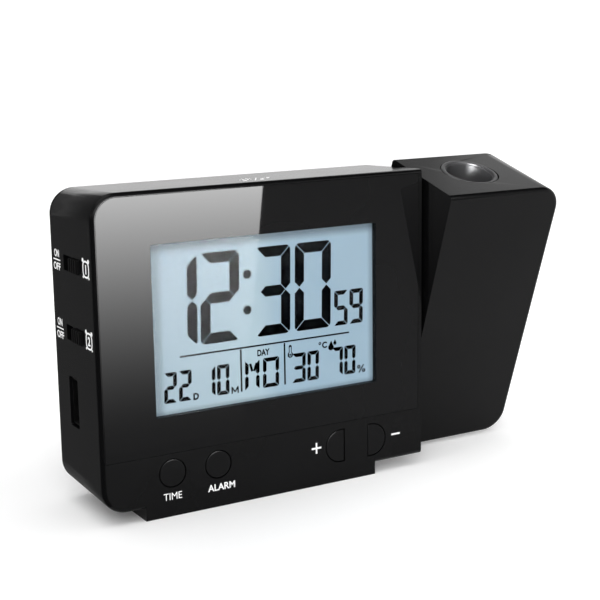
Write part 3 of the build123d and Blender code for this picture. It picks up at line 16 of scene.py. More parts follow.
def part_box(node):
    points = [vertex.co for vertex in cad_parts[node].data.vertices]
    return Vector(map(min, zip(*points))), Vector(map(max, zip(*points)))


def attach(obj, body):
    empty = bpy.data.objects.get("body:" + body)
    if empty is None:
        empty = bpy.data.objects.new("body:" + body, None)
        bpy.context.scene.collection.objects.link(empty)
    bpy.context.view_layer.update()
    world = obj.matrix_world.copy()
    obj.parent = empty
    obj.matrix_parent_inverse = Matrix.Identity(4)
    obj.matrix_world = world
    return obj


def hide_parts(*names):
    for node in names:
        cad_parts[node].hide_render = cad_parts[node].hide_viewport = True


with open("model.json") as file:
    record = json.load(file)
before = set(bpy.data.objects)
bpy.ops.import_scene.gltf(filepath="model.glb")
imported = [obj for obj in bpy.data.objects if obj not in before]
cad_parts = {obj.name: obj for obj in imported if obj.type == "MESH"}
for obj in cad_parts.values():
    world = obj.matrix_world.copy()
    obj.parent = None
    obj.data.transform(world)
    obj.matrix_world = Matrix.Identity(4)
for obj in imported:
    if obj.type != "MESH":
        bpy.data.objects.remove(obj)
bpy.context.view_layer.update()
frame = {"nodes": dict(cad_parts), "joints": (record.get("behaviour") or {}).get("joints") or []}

bl_info = {
    "name": "Projection Alarm Clock",
    "version": (1, 0, 0),
    "blender": (4, 5, 0),
    "location": "View3D > Sidebar > Clock",
    "description": "Finishes, display, prints and studio for a projection alarm clock",
    "category": "Object",
}

MM = 0.001
NODES = frame["nodes"]
JOINTS = {joint["name"]: joint for joint in frame["joints"]}
ACROSS, BACK, UP = np.eye(3)

# The case's own corner: left end and front plane of the housing, and the underside at the front,
# which is as far below the panel as the button strip is high. Rays that look for a face of the case
# start well outside it.
STRIP_HEIGHT = 14.75
OUTSIDE_MM = 20
CASE_CORNER = np.array(
    [*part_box("front_housing")[0][:2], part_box("front_panel")[0].z - STRIP_HEIGHT * MM]
)
# The projector's optical axis, and the arm's directions round it.
LENS_AT = np.array(JOINTS["focus_turn"]["pos_m"])
ARM_UP = np.array(JOINTS["focus_turn"]["axis"])
ARM_UP = ARM_UP / np.linalg.norm(ARM_UP)
ARM_BACK = np.cross(ARM_UP, ACROSS)


# ------------------------------------------------------------------ properties
class ClockFinishes(bpy.types.PropertyGroup):
    """Colours and surface values of the visible finishes."""

    housing: bpy.props.FloatVectorProperty(
        name="Housing", description="Colour of the moulded shells", subtype="COLOR", size=3,
        default=(0.0028, 0.0028, 0.003),
    )
    housing_roughness: bpy.props.FloatProperty(
        name="Housing roughness", description="Roughness of the satin shells", default=0.2, min=0, max=1,
        subtype="FACTOR",
    )
    panel: bpy.props.FloatVectorProperty(
        name="Panel", description="Colour of the polished front panel", subtype="COLOR", size=3,
        default=(0.003, 0.003, 0.0033),
    )
    display: bpy.props.FloatVectorProperty(
        name="Display", description="Colour of the lit display", subtype="COLOR", size=3,
        default=(0.312, 0.452, 0.56),
    )
    print_white: bpy.props.FloatVectorProperty(
        name="Print", description="Colour of the printed marks", subtype="COLOR", size=3,
        default=(0.86, 0.86, 0.86),
    )


class ClockPrints(bpy.types.PropertyGroup):
    """Sizes of the printed marks."""

    caption_height_mm: bpy.props.FloatProperty(
        name="Caption height", description="Capital height of the button captions, in mm", default=2.0, min=1
    )
    sign_size_mm: bpy.props.FloatProperty(
        name="Sign size", description="Width of the plus and minus signs, in mm", default=3.3, min=1
    )
    switch_caption_mm: bpy.props.FloatProperty(
        name="Switch caption", description="Capital height of ON and OFF, in mm", default=2.1, min=1
    )
    bell_clock_mm: bpy.props.FloatProperty(
        name="Bell clock", description="Height of the little alarm clock marks, in mm", default=5.5, min=2
    )
    film_mm: bpy.props.FloatProperty(
        name="Ink film", description="Thickness of the printed ink, in mm", default=0.02, min=0.005, max=0.1
    )


class ClockDisplay(bpy.types.PropertyGroup):
    """Sizes of the display's segments."""

    hour_height_mm: bpy.props.FloatProperty(
        name="Hour height", description="Height of the hour and minute digits, in mm", default=25.7, min=5
    )
    second_height_mm: bpy.props.FloatProperty(
        name="Second height", description="Height of the second digits, in mm", default=10.4, min=3
    )
    row_height_mm: bpy.props.FloatProperty(
        name="Row height", description="Height of the digits in the lower row, in mm", default=8.75, min=3
    )
    lean_degrees: bpy.props.FloatProperty(
        name="Lean", description="Lean of the digits, in degrees", default=1.1, min=0, max=12
    )


class ClockRing(bpy.types.PropertyGroup):
    """Sizes of the focus ring that show in the arm's top."""

    rim_r_mm: bpy.props.FloatProperty(
        name="Rim radius", description="Outer radius of the ring at the arm's top, in mm", default=8.8, min=5
    )
    mouth_r_mm: bpy.props.FloatProperty(
        name="Mouth radius", description="Inner radius of the ring at its rim, in mm", default=7.7, min=4
    )
    throat_r_mm: bpy.props.FloatProperty(
        name="Throat radius", description="Radius at the bottom of the bell, in mm", default=6.5, min=3
    )
    bore_r_mm: bpy.props.FloatProperty(
        name="Bore radius", description="Radius of the bore for the lens cell, in mm", default=5.9, min=3
    )
    bell_l_mm: bpy.props.FloatProperty(
        name="Bell depth", description="Depth of the bell below the rim, in mm", default=6.0, min=1
    )


class ClockStudio(bpy.types.PropertyGroup):
    """Camera, floor and light."""

    lens_mm: bpy.props.FloatProperty(
        name="Lens", description="Focal length of the camera, in mm", default=81.34, min=20, unit="CAMERA"
    )
    floor_radius: bpy.props.FloatProperty(
        name="Floor radius", description="Radius of the studio floor", default=1.7, min=1, unit="LENGTH"
    )
    sky: bpy.props.FloatProperty(
        name="Sky", description="Strength of the light from all round", default=0.55, min=0
    )
    key: bpy.props.FloatProperty(
        name="Key light", description="Power of the soft light overhead", default=7.5, min=0, unit="POWER"
    )
    fill: bpy.props.FloatProperty(
        name="Fill light", description="Power of the soft light at the front left", default=6.0, min=0,
        unit="POWER",
    )


# ------------------------------------------------------------------ placing
def case_point(u, d, v):
    """Point of the case in metres: u mm from its left end, d mm back from the front, v mm up."""
    return CASE_CORNER + MM * (u * ACROSS + d * BACK + v * UP)


def surface_at(node, point, toward):
    """Point and outward normal where a ray from point in the direction toward meets a CAD node."""
    hit, place, normal, _ = NODES[node].ray_cast(Vector(point), Vector(toward))
    if not hit:
        raise RuntimeError(f"no surface of {node} there")
    return np.array(place), np.array(normal)


def place_on(node, point, toward, right):
    """Origin, right, up and normal of the flat place on a node that a ray meets."""
    origin, normal = surface_at(node, point, toward)
    right = right - normal * (right @ normal)
    right = right / np.linalg.norm(right)
    return origin, right, np.cross(normal, right), normal


# ------------------------------------------------------------------ mesh code
def linked(name, data):
    """New object with that data, linked to the scene."""
    thing = bpy.data.objects.new(name, data)
    bpy.context.scene.collection.objects.link(thing)
    return thing


def mesh_points(mesh):
    """All vertices of a mesh as an array."""
    flat = np.empty(len(mesh.vertices) * 3, np.float32)
    mesh.vertices.foreach_get("co", flat)
    return flat.reshape(-1, 3).astype(float)


def full_turn(steps):
    """Angles of one whole turn, evenly spaced, without its end."""
    return np.linspace(0, 2 * np.pi, steps, endpoint=False)


def grid_faces(rows, columns, closed=True):
    """Quads of a rows x columns grid of points. Closed joins the last column to the first."""
    row = np.arange(rows - 1)[:, None] * columns
    first = np.arange(columns if closed else columns - 1)[None, :]
    second = (first + 1) % columns
    quads = np.stack([row + first, row + second, row + columns + second, row + columns + first], -1)
    return quads.reshape(-1, 4)


def facing_out(points, quads):
    """Quads of a closed surface, turned round where the signed volume inside them is below zero."""
    a, b, c, d = (points[quads[:, i]] for i in range(4))
    volume = np.sum(a * np.cross(b, c)) + np.sum(a * np.cross(c, d))
    return quads if volume >= 0 else quads[:, ::-1]


def add_piece(name, points, faces, material, body, smooth_angle=None):
    """Links a mesh piece of those points, in metres, merges its doubles and lets it ride on a body."""
    mesh = bpy.data.meshes.new(name)
    mesh.from_pydata(points.tolist(), [], [list(face) for face in faces])
    work = bmesh.new()
    work.from_mesh(mesh)
    bmesh.ops.remove_doubles(work, verts=work.verts, dist=1e-7)
    bmesh.ops.dissolve_degenerate(work, edges=work.edges, dist=1e-7)
    work.to_mesh(mesh)
    work.free()
    mesh.materials.append(material)
    piece = linked(name, mesh)
    if smooth_angle is not None:
        mesh.shade_smooth()
        sharp_edges(mesh, smooth_angle)
    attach(piece, body)
    return piece


def sharp_edges(mesh, angle):
    """Marks the edges that turn by more than angle degrees as sharp."""
    work = bmesh.new()
    work.from_mesh(mesh)
    for edge in work.edges:
        edge.smooth = len(edge.link_faces) == 2 and edge.calc_face_angle(0.0) < math.radians(angle)
    work.to_mesh(mesh)
    work.free()


def turned(profile, steps, base, up):
    """Surface of revolution: each (radius, height) of the profile, in mm, goes once round the axis up."""
    profile = np.asarray(profile, float) * MM
    turn = full_turn(steps)[:, None]
    spoke = np.cos(turn) * ACROSS + np.sin(turn) * np.cross(up, ACROSS)
    points = (base + profile[:, None, :1] * spoke + profile[:, None, 1:] * up).reshape(-1, 3)
    return points, facing_out(points - base, grid_faces(len(profile), steps))


def eased(corners, steps=6):
    """Profile through (x, y, radius) corners, each rounded by an arc that touches both its sides."""
    corners = np.asarray(corners, float)
    out = []
    for before, here, after in zip(np.roll(corners, 1, 0), corners, np.roll(corners, -1, 0)):
        radius = here[2]
        if radius == 0:
            out.append(here[None, :2])
            continue
        ways = (before[:2] - here[:2], after[:2] - here[:2])
        to_before, to_after = (way / np.linalg.norm(way) for way in ways)
        half = math.acos(np.clip(to_before @ to_after, -1, 1)) / 2
        reach = radius / math.tan(half)
        inward = to_before + to_after
        middle = here[:2] + inward / np.linalg.norm(inward) * radius / math.sin(half)
        start = here[:2] + to_before * reach - middle
        end = here[:2] + to_after * reach - middle
        share = np.linspace(0, 1, steps + 1)[:, None]
        spread = math.acos(np.clip(start @ end / radius**2, -1, 1))
        arc = (np.sin((1 - share) * spread) * start + np.sin(share * spread) * end) / math.sin(spread)
        out.append(middle + arc)
    return np.concatenate(out)


def flat_shape(outlines, film):
    """Points and faces of closed flat outlines, in mm, filled and given the thickness film."""
    curve = bpy.data.curves.new("outline", "CURVE")
    curve.dimensions = "2D"
    curve.fill_mode = "BOTH"
    curve.extrude = film / 2
    for outline in outlines:
        spline = curve.splines.new("POLY")
        spline.points.add(len(outline) - 1)
        flat = np.zeros((len(outline), 4))
        flat[:, :2] = outline
        flat[:, 3] = 1
        spline.points.foreach_set("co", flat.ravel())
        spline.use_cyclic_u = True
    return curve_mesh(curve)


def curve_mesh(curve):
    """Points and faces of a flat curve or a text, made a mesh before it is placed."""
    maker = linked("maker", curve)
    bpy.context.view_layer.update()
    mesh = bpy.data.meshes.new_from_object(maker.evaluated_get(bpy.context.evaluated_depsgraph_get()))
    points, faces = mesh_points(mesh), [list(polygon.vertices) for polygon in mesh.polygons]
    bpy.data.objects.remove(maker)
    bpy.data.curves.remove(curve)
    bpy.data.meshes.remove(mesh)
    return points, faces


def lettering(words, height, film, centre=(0, 0), width=None, weight=0.02):
    """Points and faces of words with that capital height, in mm, centred on a point.

    Width, where given, sets how far the words run. Weight is how much the strokes are fattened.
    """
    curve = bpy.data.curves.new("words", "FONT")
    curve.body = words
    curve.offset = weight
    curve.extrude = 0.5
    points, faces = curve_mesh(curve)
    low, high = points.min(0), points.max(0)
    scale = height / (high[1] - low[1])
    stretch = scale if width is None else width / (high[0] - low[0])
    middle = (low + high) / 2
    points = (points - middle) * [stretch, scale, film] + [centre[0], centre[1], 0]
    return points, faces


def joined(parts):
    """Points and faces of several (points, faces) parts as one."""
    points, faces, start = [], [], 0
    for part_points, part_faces in parts:
        points.append(part_points)
        faces += [[index + start for index in face] for face in part_faces]
        start += len(part_points)
    return np.concatenate(points), faces


def printed(name, parts, place, film, material):
    """Piece of flat ink on the case: parts in mm, laid on a place and lifted by half the film's thickness."""
    points, faces = joined(parts)
    origin, right, up, normal = place
    lifted = points[:, 2:] + film / 2
    world = origin + MM * (points[:, :1] * right + points[:, 1:2] * up + lifted * normal)
    return add_piece(name, world, faces, material, "case")


# ------------------------------------------------------------------ materials
class Finish:
    """One node-based material, with short calls for the nodes that it needs."""

    def __init__(self, name, **sockets):
        self.material = bpy.data.materials.new(name)
        self.material.use_nodes = True
        self.nodes = self.material.node_tree.nodes
        self.links = self.material.node_tree.links
        self.shader = self.nodes["Principled BSDF"]
        for socket, value in sockets.items():
            self.set(socket.replace("_", " "), value)
        self.place = self.nodes.new("ShaderNodeTexCoord").outputs["Object"]

    def set(self, socket, value):
        """Sets a socket of the shader itself."""
        if socket.endswith("Color") and len(value) == 3:
            value = (*value, 1)
        self.shader.inputs[socket].default_value = value

    def noise(self, scale, detail=2.0, stretch=(1, 1, 1)):
        """Noise of that many cells per metre on the object's own coordinates, maybe stretched."""
        mapping = self.nodes.new("ShaderNodeMapping")
        mapping.inputs["Scale"].default_value = stretch
        node = self.nodes.new("ShaderNodeTexNoise")
        node.inputs["Scale"].default_value = scale
        node.inputs["Detail"].default_value = detail
        self.links.new(self.place, mapping.inputs["Vector"])
        self.links.new(mapping.outputs["Vector"], node.inputs["Vector"])
        return node.outputs["Fac"]

    def axis(self, name, source=None):
        """The X, Y or Z part of the place, or of another vector."""
        node = self.nodes.new("ShaderNodeSeparateXYZ")
        self.links.new(self.place if source is None else source, node.inputs["Vector"])
        return node.outputs[name]

    def spread(self, value, low, high, start=0.0, end=1.0, step="LINEAR"):
        """Maps a value that goes from start to end onto low to high."""
        node = self.nodes.new("ShaderNodeMapRange")
        node.interpolation_type = step
        for socket, number in zip(("From Min", "From Max", "To Min", "To Max"), (start, end, low, high)):
            node.inputs[socket].default_value = number
        self.links.new(value, node.inputs["Value"])
        return node.outputs["Result"]

    def between(self, value, start, end, low=0.0, high=1.0):
        """Smooth step from low to high as a value goes from start to end."""
        return self.spread(value, low, high, start, end, "SMOOTHSTEP")

    def math(self, operation, first, second):
        """Result of a math node. Each term is a socket or a number."""
        node = self.nodes.new("ShaderNodeMath")
        node.operation = operation
        for socket, term in zip(node.inputs, (first, second)):
            if isinstance(term, bpy.types.NodeSocket):
                self.links.new(term, socket)
            else:
                socket.default_value = term
        return node.outputs["Value"]

    def times(self, first, second):
        """Product of two terms."""
        return self.math("MULTIPLY", first, second)

    def ramp(self, value, *stops):
        """Colour ramp: each stop is (position, colour)."""
        node = self.nodes.new("ShaderNodeValToRGB")
        band = node.color_ramp
        while len(band.elements) < len(stops):
            band.elements.new(0.5)
        for element, (position, colour) in zip(band.elements, stops):
            element.position = position
            element.color = (*colour, 1)
        self.links.new(value, node.inputs["Fac"])
        return node.outputs["Color"]

    def vary(self, socket, value):
        """Feeds a varying value or colour to a socket of the shader."""
        self.links.new(value, self.shader.inputs[socket])

    def mottle(self, colour, scale, detail, dark, light, stops=(0.3, 0.7)):
        """Base colour that goes from dark to light times its own with noise. Returns the noise."""
        noise = self.noise(scale, detail)
        shades = [(stop, shade(colour, factor)) for stop, factor in zip(stops, (dark, light))]
        self.vary("Base Color", self.ramp(noise, *shades))
        return noise

    def bump(self, value, height_mm):
        """Bump of that height from a 0 to 1 value."""
        node = self.nodes.new("ShaderNodeBump")
        node.inputs["Strength"].default_value = 1.0
        node.inputs["Distance"].default_value = height_mm * MM
        self.links.new(value, node.inputs["Height"])
        self.links.new(node.outputs["Normal"], self.shader.inputs["Normal"])


def shade(colour, factor):
    """A colour made lighter or darker by a factor."""
    return tuple(min(1.0, part * factor) for part in colour)


def moulded_plastic(name, colour, roughness, level, grain_mm=0.25):
    """Satin moulded plastic: fine spark-eroded grain, and broad faint changes of gloss and colour."""
    finish = Finish(name, Base_Color=colour, Roughness=roughness, Specular_IOR_Level=level)
    broad = finish.mottle(colour, 38.0, 3.0, dark=0.85, light=1.15)
    finish.vary("Roughness", finish.spread(broad, roughness * 0.85, roughness * 1.15))
    grain_height_mm = 0.004
    finish.bump(finish.noise(1 / (grain_mm * MM)), grain_height_mm)
    return finish.material


def polished_plastic(name, colour, roughness, level):
    """Polished acrylic: almost flat, with a slow ripple and faint rubbed patches."""
    finish = Finish(name, Base_Color=colour, Roughness=roughness, Specular_IOR_Level=level)
    finish.vary("Roughness", finish.spread(finish.noise(55.0, 4.0), roughness * 0.7, roughness * 1.3))
    finish.mottle(colour, 20.0, 2.0, dark=0.9, light=1.1)
    return finish.material


def clear_plastic(name, colour, roughness, ior):
    """Clear moulded part: full transmission, with rubbed patches where it isn't fully polished."""
    finish = Finish(
        name, Base_Color=colour, Roughness=roughness, IOR=ior, Transmission_Weight=1.0, Specular_IOR_Level=0.5
    )
    if roughness > 0:
        finish.vary("Roughness", finish.spread(finish.noise(90.0, 3.0), roughness * 0.6, roughness * 1.4))
    return finish.material


def plated_metal(name, colour, roughness, stretch=(1, 1, 1)):
    """Plated metal: fine drawn lines in one direction and broad tarnish."""
    finish = Finish(name, Base_Color=colour, Metallic=1.0, Roughness=roughness)
    lines = finish.noise(900.0, 3.0, stretch)
    finish.vary("Roughness", finish.spread(lines, roughness - 0.08, roughness + 0.12))
    finish.mottle(colour, 120.0, 3.0, dark=0.8, light=1.1, stops=(0.3, 0.75))
    finish.bump(lines, 0.003)
    return finish.material


def circuit_board(name):
    """Green solder resist with copper runs under it: the joints of a brick pattern."""
    finish = Finish(name, Roughness=0.35)
    brick = finish.nodes.new("ShaderNodeTexBrick")
    values = {
        "Scale": 220.0, "Mortar Size": 0.03, "Color1": (0.012, 0.09, 0.035, 1),
        "Color2": (0.016, 0.12, 0.045, 1), "Mortar": (0.035, 0.2, 0.07, 1),
    }
    for socket, value in values.items():
        brick.inputs[socket].default_value = value
    turn = finish.nodes.new("ShaderNodeMapping")
    turn.inputs["Rotation"].default_value = (math.pi / 2, 0, 0)
    finish.links.new(finish.place, turn.inputs["Vector"])
    finish.links.new(turn.outputs["Vector"], brick.inputs["Vector"])
    finish.vary("Base Color", brick.outputs["Color"])
    finish.bump(brick.outputs["Fac"], 0.03)
    return finish.material


# ------------------------------------------------------------------ frame nodes
def soften(piece, edge_mm):
    """Live modifiers that merge a CAD node's triangles and give its sharp edges a small bevel."""
    weld = piece.modifiers.new("merge", "WELD")
    weld.merge_threshold = 1e-6
    bevel = piece.modifiers.new("edges", "BEVEL")
    bevel.width = edge_mm * MM
    bevel.segments = 2
    bevel.limit_method = "ANGLE"
    bevel.angle_limit = math.radians(35)
    bevel.miter_outer = "MITER_ARC"
    bevel.use_clamp_overlap = True
    bevel.harden_normals = True


def dress(node, material, edge_mm=0.0):
    """Gives a CAD node its finish and, where asked, small bevels on its edges."""
    piece = NODES[node]
    piece.data.materials.clear()
    piece.data.materials.append(material)
    if edge_mm:
        soften(piece, edge_mm)


# ------------------------------------------------------------------ outlines, in mm
def arc_outline(x, y, radius, start, end, points):
    """Points along an arc round (x, y), from one bearing to another in degrees, both ends included."""
    turn = np.radians(np.linspace(start, end, points))
    return np.stack([x + radius * np.cos(turn), y + radius * np.sin(turn)], -1)


def disc_outline(x, y, radius, steps=40):
    """Whole circle round (x, y)."""
    return arc_outline(x, y, radius, 0, 360, steps + 1)[:-1]


def bar_outline(x0, y0, x1, y1, width):
    """Straight bar of that width from one point to another, with square ends."""
    start, end = np.array([x0, y0]), np.array([x1, y1])
    along = (end - start) / np.linalg.norm(end - start)
    side = np.array([-along[1], along[0]]) * width / 2
    return np.array([start + side, start - side, end - side, end + side])


# ------------------------------------------------------------------ display artwork
def segment_outlines(letters, height, width, stroke, gap, right, base, lean):
    """Outlines of lit segments of one digit whose right foot stands at (right, base), in mm.

    a to g go round from the top, and g is the middle bar. Every end is mitred at 45 degrees, half a
    gap from the mitre line, and the outer corners are rounded. The digit leans to the right.
    """
    half, inset, corner = height / 2, gap / math.sqrt(2), stroke / 2
    tip = corner * (1 - math.sqrt(0.5))

    def both_ends(end):
        """Bar whose right end mirrors its left one."""
        return np.concatenate([end, (np.array(end) * [-1, 1] + [width, 0])[::-1]])

    side = np.array(
        [*arc_outline(corner, -corner, corner, 180, 150, 3), (tip, -tip - inset), (stroke, -stroke - inset),
         (stroke, inset + corner - half), (corner, inset - half), (0, inset + corner - half)]
    )
    top = both_ends(
        [(stroke + inset, -stroke), (tip + inset, -tip), *arc_outline(corner, -corner, corner, 120, 90, 3)]
    )
    shapes = {
        "a": top + [0, height],
        "f": side + [0, height],
        "b": side * [-1, 1] + [width, height],
        "e": side * [1, -1],
        "c": side * [-1, -1] + [width, 0],
        "d": top * [1, -1],
        "g": both_ends(
            [(stroke + inset, half - corner), (corner + inset, half), (stroke + inset, half + corner)]
        ),
    }
    slope = math.tan(math.radians(lean))
    out = []
    for letter in letters:
        shape = shapes[letter]
        out.append(np.stack([shape[:, 0] + shape[:, 1] * slope + right - width, shape[:, 1] + base], -1))
    return out


SEGMENTS = {
    "0": "abcdef", "1": "bc", "2": "abged", "3": "abgcd", "5": "afgcd", "7": "abc", "9": "abcdfg",
}


def digit_run(text, rights, height, width, stroke, gap, base, lean):
    """Outlines of a run of digits, each ending at its own right edge."""
    outlines = []
    for sign, right in zip(text, rights):
        outlines += segment_outlines(SEGMENTS[sign], height, width, stroke, gap, right, base, lean)
    return outlines


class CLOCK_OT_display(bpy.types.Operator):
    """Lit display with its segments, rules, letters and small icons"""

    bl_idname = "clock.display"
    bl_label = "Display"
    ROW_BASE = 28.4  # foot of the lower row of digits, in mm above the case's underside

    def execute(self, context):
        low, high = (np.array(corner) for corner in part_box("lcd_window"))
        dress("lcd_glass", self.glass(context.scene.clock_finishes.display, low, high))
        corner = np.array([CASE_CORNER[0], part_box("lcd_glass")[0].y, CASE_CORNER[2]])
        self.place = (corner, ACROSS, UP, -BACK)
        self.film = 0.03
        self.segments = self.segment_ink()
        self.digits(context.scene.clock_display)
        self.signs()
        return {"FINISHED"}

    def lay(self, name, outlines=(), parts=()):
        """Piece of ink on the glass: outlines, in mm from the case's corner, and parts already filled."""
        shapes = list(parts)
        if len(outlines):
            shapes.append(flat_shape(outlines, self.film))
        printed(name, shapes, self.place, self.film, self.segments)

    def digits(self, sizes):
        """Hours, minutes, seconds, date, climate and weekday. Each digit is placed by its right edge."""
        lean, hour_base, row_base = sizes.lean_degrees, 43.6, self.ROW_BASE
        hour = dict(height=sizes.hour_height_mm, width=12.1, stroke=3.05, gap=0.2, base=hour_base, lean=lean)
        time = digit_run("120", (30.7, 43.8, 73.9), **hour)
        self.lay("time_digits", time + digit_run("3", (60.3,), **{**hour, "width": 11.3}))
        self.lay("time_colon", [disc_outline(46.7, 62.0, 1.3), disc_outline(46.5, 51.8, 1.3)])
        second = dict(
            height=sizes.second_height_mm, width=4.7, stroke=1.3, gap=0.12, base=hour_base, lean=lean
        )
        self.lay("second_digits", digit_run("59", (79.8, 85.1), **second))
        row = dict(height=sizes.row_height_mm, width=3.9, stroke=1.16, gap=0.12, base=row_base, lean=lean)
        self.lay("date_digits", digit_run("2210", (23.9, 28.4, 35.8, 40.2), **row))
        climate = digit_run("070", (69.7, 78.0, 82.4), **row)
        self.lay("climate_digits", climate + digit_run("3", (65.2,), **{**row, "width": 4.6}))
        strokes = segment_outlines("bcfe", right=49.9, **{**row, "width": 4.7})
        strokes += segment_outlines("abcdef", right=56.3, **{**row, "width": 5.3})
        top = row_base + sizes.row_height_mm
        slants = [
            bar_outline(start, top - 1.0, end, top - 3.3, 0.75)
            for start, end in ((47.0, 47.65), (49.1, 48.25))
        ]
        self.lay("weekday_digits", strokes, [flat_shape([slant], self.film) for slant in slants])

    def signs(self):
        """Rules between the fields, small letters, and the climate's icons."""
        rules = [bar_outline(25.2, 41.1, 80.3, 41.1, 0.48)]
        rules += [bar_outline(u, 40.7, u, self.ROW_BASE, 0.52) for u in (44.1, 58.3)]
        self.lay("display_rules", rules)
        self.lay(
            "display_letters",
            parts=[
                lettering("D", 2.0, self.film, (29.75, 29.2), 1.75, 0.05),
                *(flat_shape([stroke], self.film) for stroke in self.letter_m(42.0, 29.2, 2.3, 2.0, 0.42)),
                lettering("DAY", 1.9, self.film, (51.4, 38.9), 4.0, 0.04),
                lettering("C", 1.9, self.film, (71.8, 38.4), 1.7, 0.04),
                *(flat_shape(shape, self.film) for shape in self.percent(84.5, 29.5, 2.3, 0.42)),
            ],
        )
        degree = [disc_outline(70.2, 39.0, radius, 24) for radius in (0.45, 0.17)]
        self.lay("climate_icons", [*self.thermometer(60.2, 37.0), *degree, *self.drops(74.0, 37.4)])

    def letter_m(self, x, y, width, height, stroke):
        """Letter M of four strokes round a centre."""
        half = height / 2
        edges = (x - (width - stroke) / 2, x + (width - stroke) / 2)
        posts = [bar_outline(edge, y - half, edge, y + half, stroke) for edge in edges]
        return posts + [bar_outline(edge, y + half - stroke / 3, x, y - half / 2, stroke) for edge in edges]

    def percent(self, x, y, height, stroke):
        """Percent sign round a centre: a stroke and two rings."""
        reach, radius = 0.85, height * 0.26
        shapes = [[bar_outline(x - reach, y - height / 2, x + reach, y + height / 2, stroke)]]
        for side in (-1, 1):
            middle = (x + side * reach, y - side * height * 0.27)
            shapes.append([disc_outline(*middle, r, 24) for r in (radius, radius - stroke)])
        return shapes

    def thermometer(self, x, y):
        """Bulb and stem as one outline with a hole, and a filled bulb in it."""
        bulb_r, stem_r, stem_l = 0.9, 0.5, 2.4
        outer = np.concatenate(
            [arc_outline(x, y, bulb_r, 120, 420, 31), arc_outline(x, y + stem_l, stem_r, 0, 180, 13)]
        )
        centre = np.array([x, y + 0.5])
        inner = centre + (outer - centre) * [0.48, 0.76]
        return [outer, inner, disc_outline(x, y, 0.3, 24)]

    def drops(self, x, y):
        """Two filled drops: a circle whose top runs up to a point."""
        out = []
        for dx, dy, size in ((0, 0, 0.95), (1.35, 1.1, 0.55)):
            drop = np.concatenate([arc_outline(0, 0, 1, 135, 405, 28), [(0.1, 2.1)]]) * size
            out.append(drop + [x + dx, y + dy])
        return out

    def glass(self, colour, low, high):
        """Lit display: paler at the left, which is painted reflection of the front card added to its glow,
        and darker just inside each edge, which is painted shade of the frame round it.
        """
        finish = Finish("lit_display", Base_Color=(0.01, 0.01, 0.01), Roughness=0.35, Specular_IOR_Level=0.0)
        across = finish.between(finish.axis("X"), low[0], high[0])
        # The pale and cool stops at the left are painted reflection of the front card, lighter than the
        # display's own colour.
        pale, cool = (0.385, 0.51, 0.59), (0.405, 0.545, 0.62)
        stops = ((0.0, pale), (0.42, cool), (0.6, colour), (1.0, shade(colour, 0.97)))
        finish.vary("Emission Color", finish.ramp(across, *stops))
        cloud_and_frame_shade = finish.spread(finish.noise(22.0), 0.97, 1.03)
        # Each edge, darkened as painted shade of the frame: the way across it, where it is dark, how far in
        # it turns light, and its least light.
        edges = (
            ("X", low[0] + 1.6 * MM, 3.0 * MM, 0.6), ("X", high[0], -2.2 * MM, 0.6),
            ("Z", low[2], 1.6 * MM, 0.64), ("Z", high[2] - 0.6 * MM, -3.2 * MM, 0.4),
        )
        for way, edge, reach, least in edges:
            cloud_and_frame_shade = finish.times(cloud_and_frame_shade, finish.between(finish.axis(way), edge, edge + reach, least))
        finish.vary("Emission Strength", cloud_and_frame_shade)
        return finish.material

    def segment_ink(self):
        """Dark liquid-crystal segments with a faint blue cast, a little uneven."""
        colour = (0.0006, 0.0007, 0.0009)
        finish = Finish("segment_ink", Base_Color=colour, Roughness=0.5, Specular_IOR_Level=0.0)
        finish.mottle(colour, 60.0, 2.0, dark=0.7, light=1.4)
        return finish.material


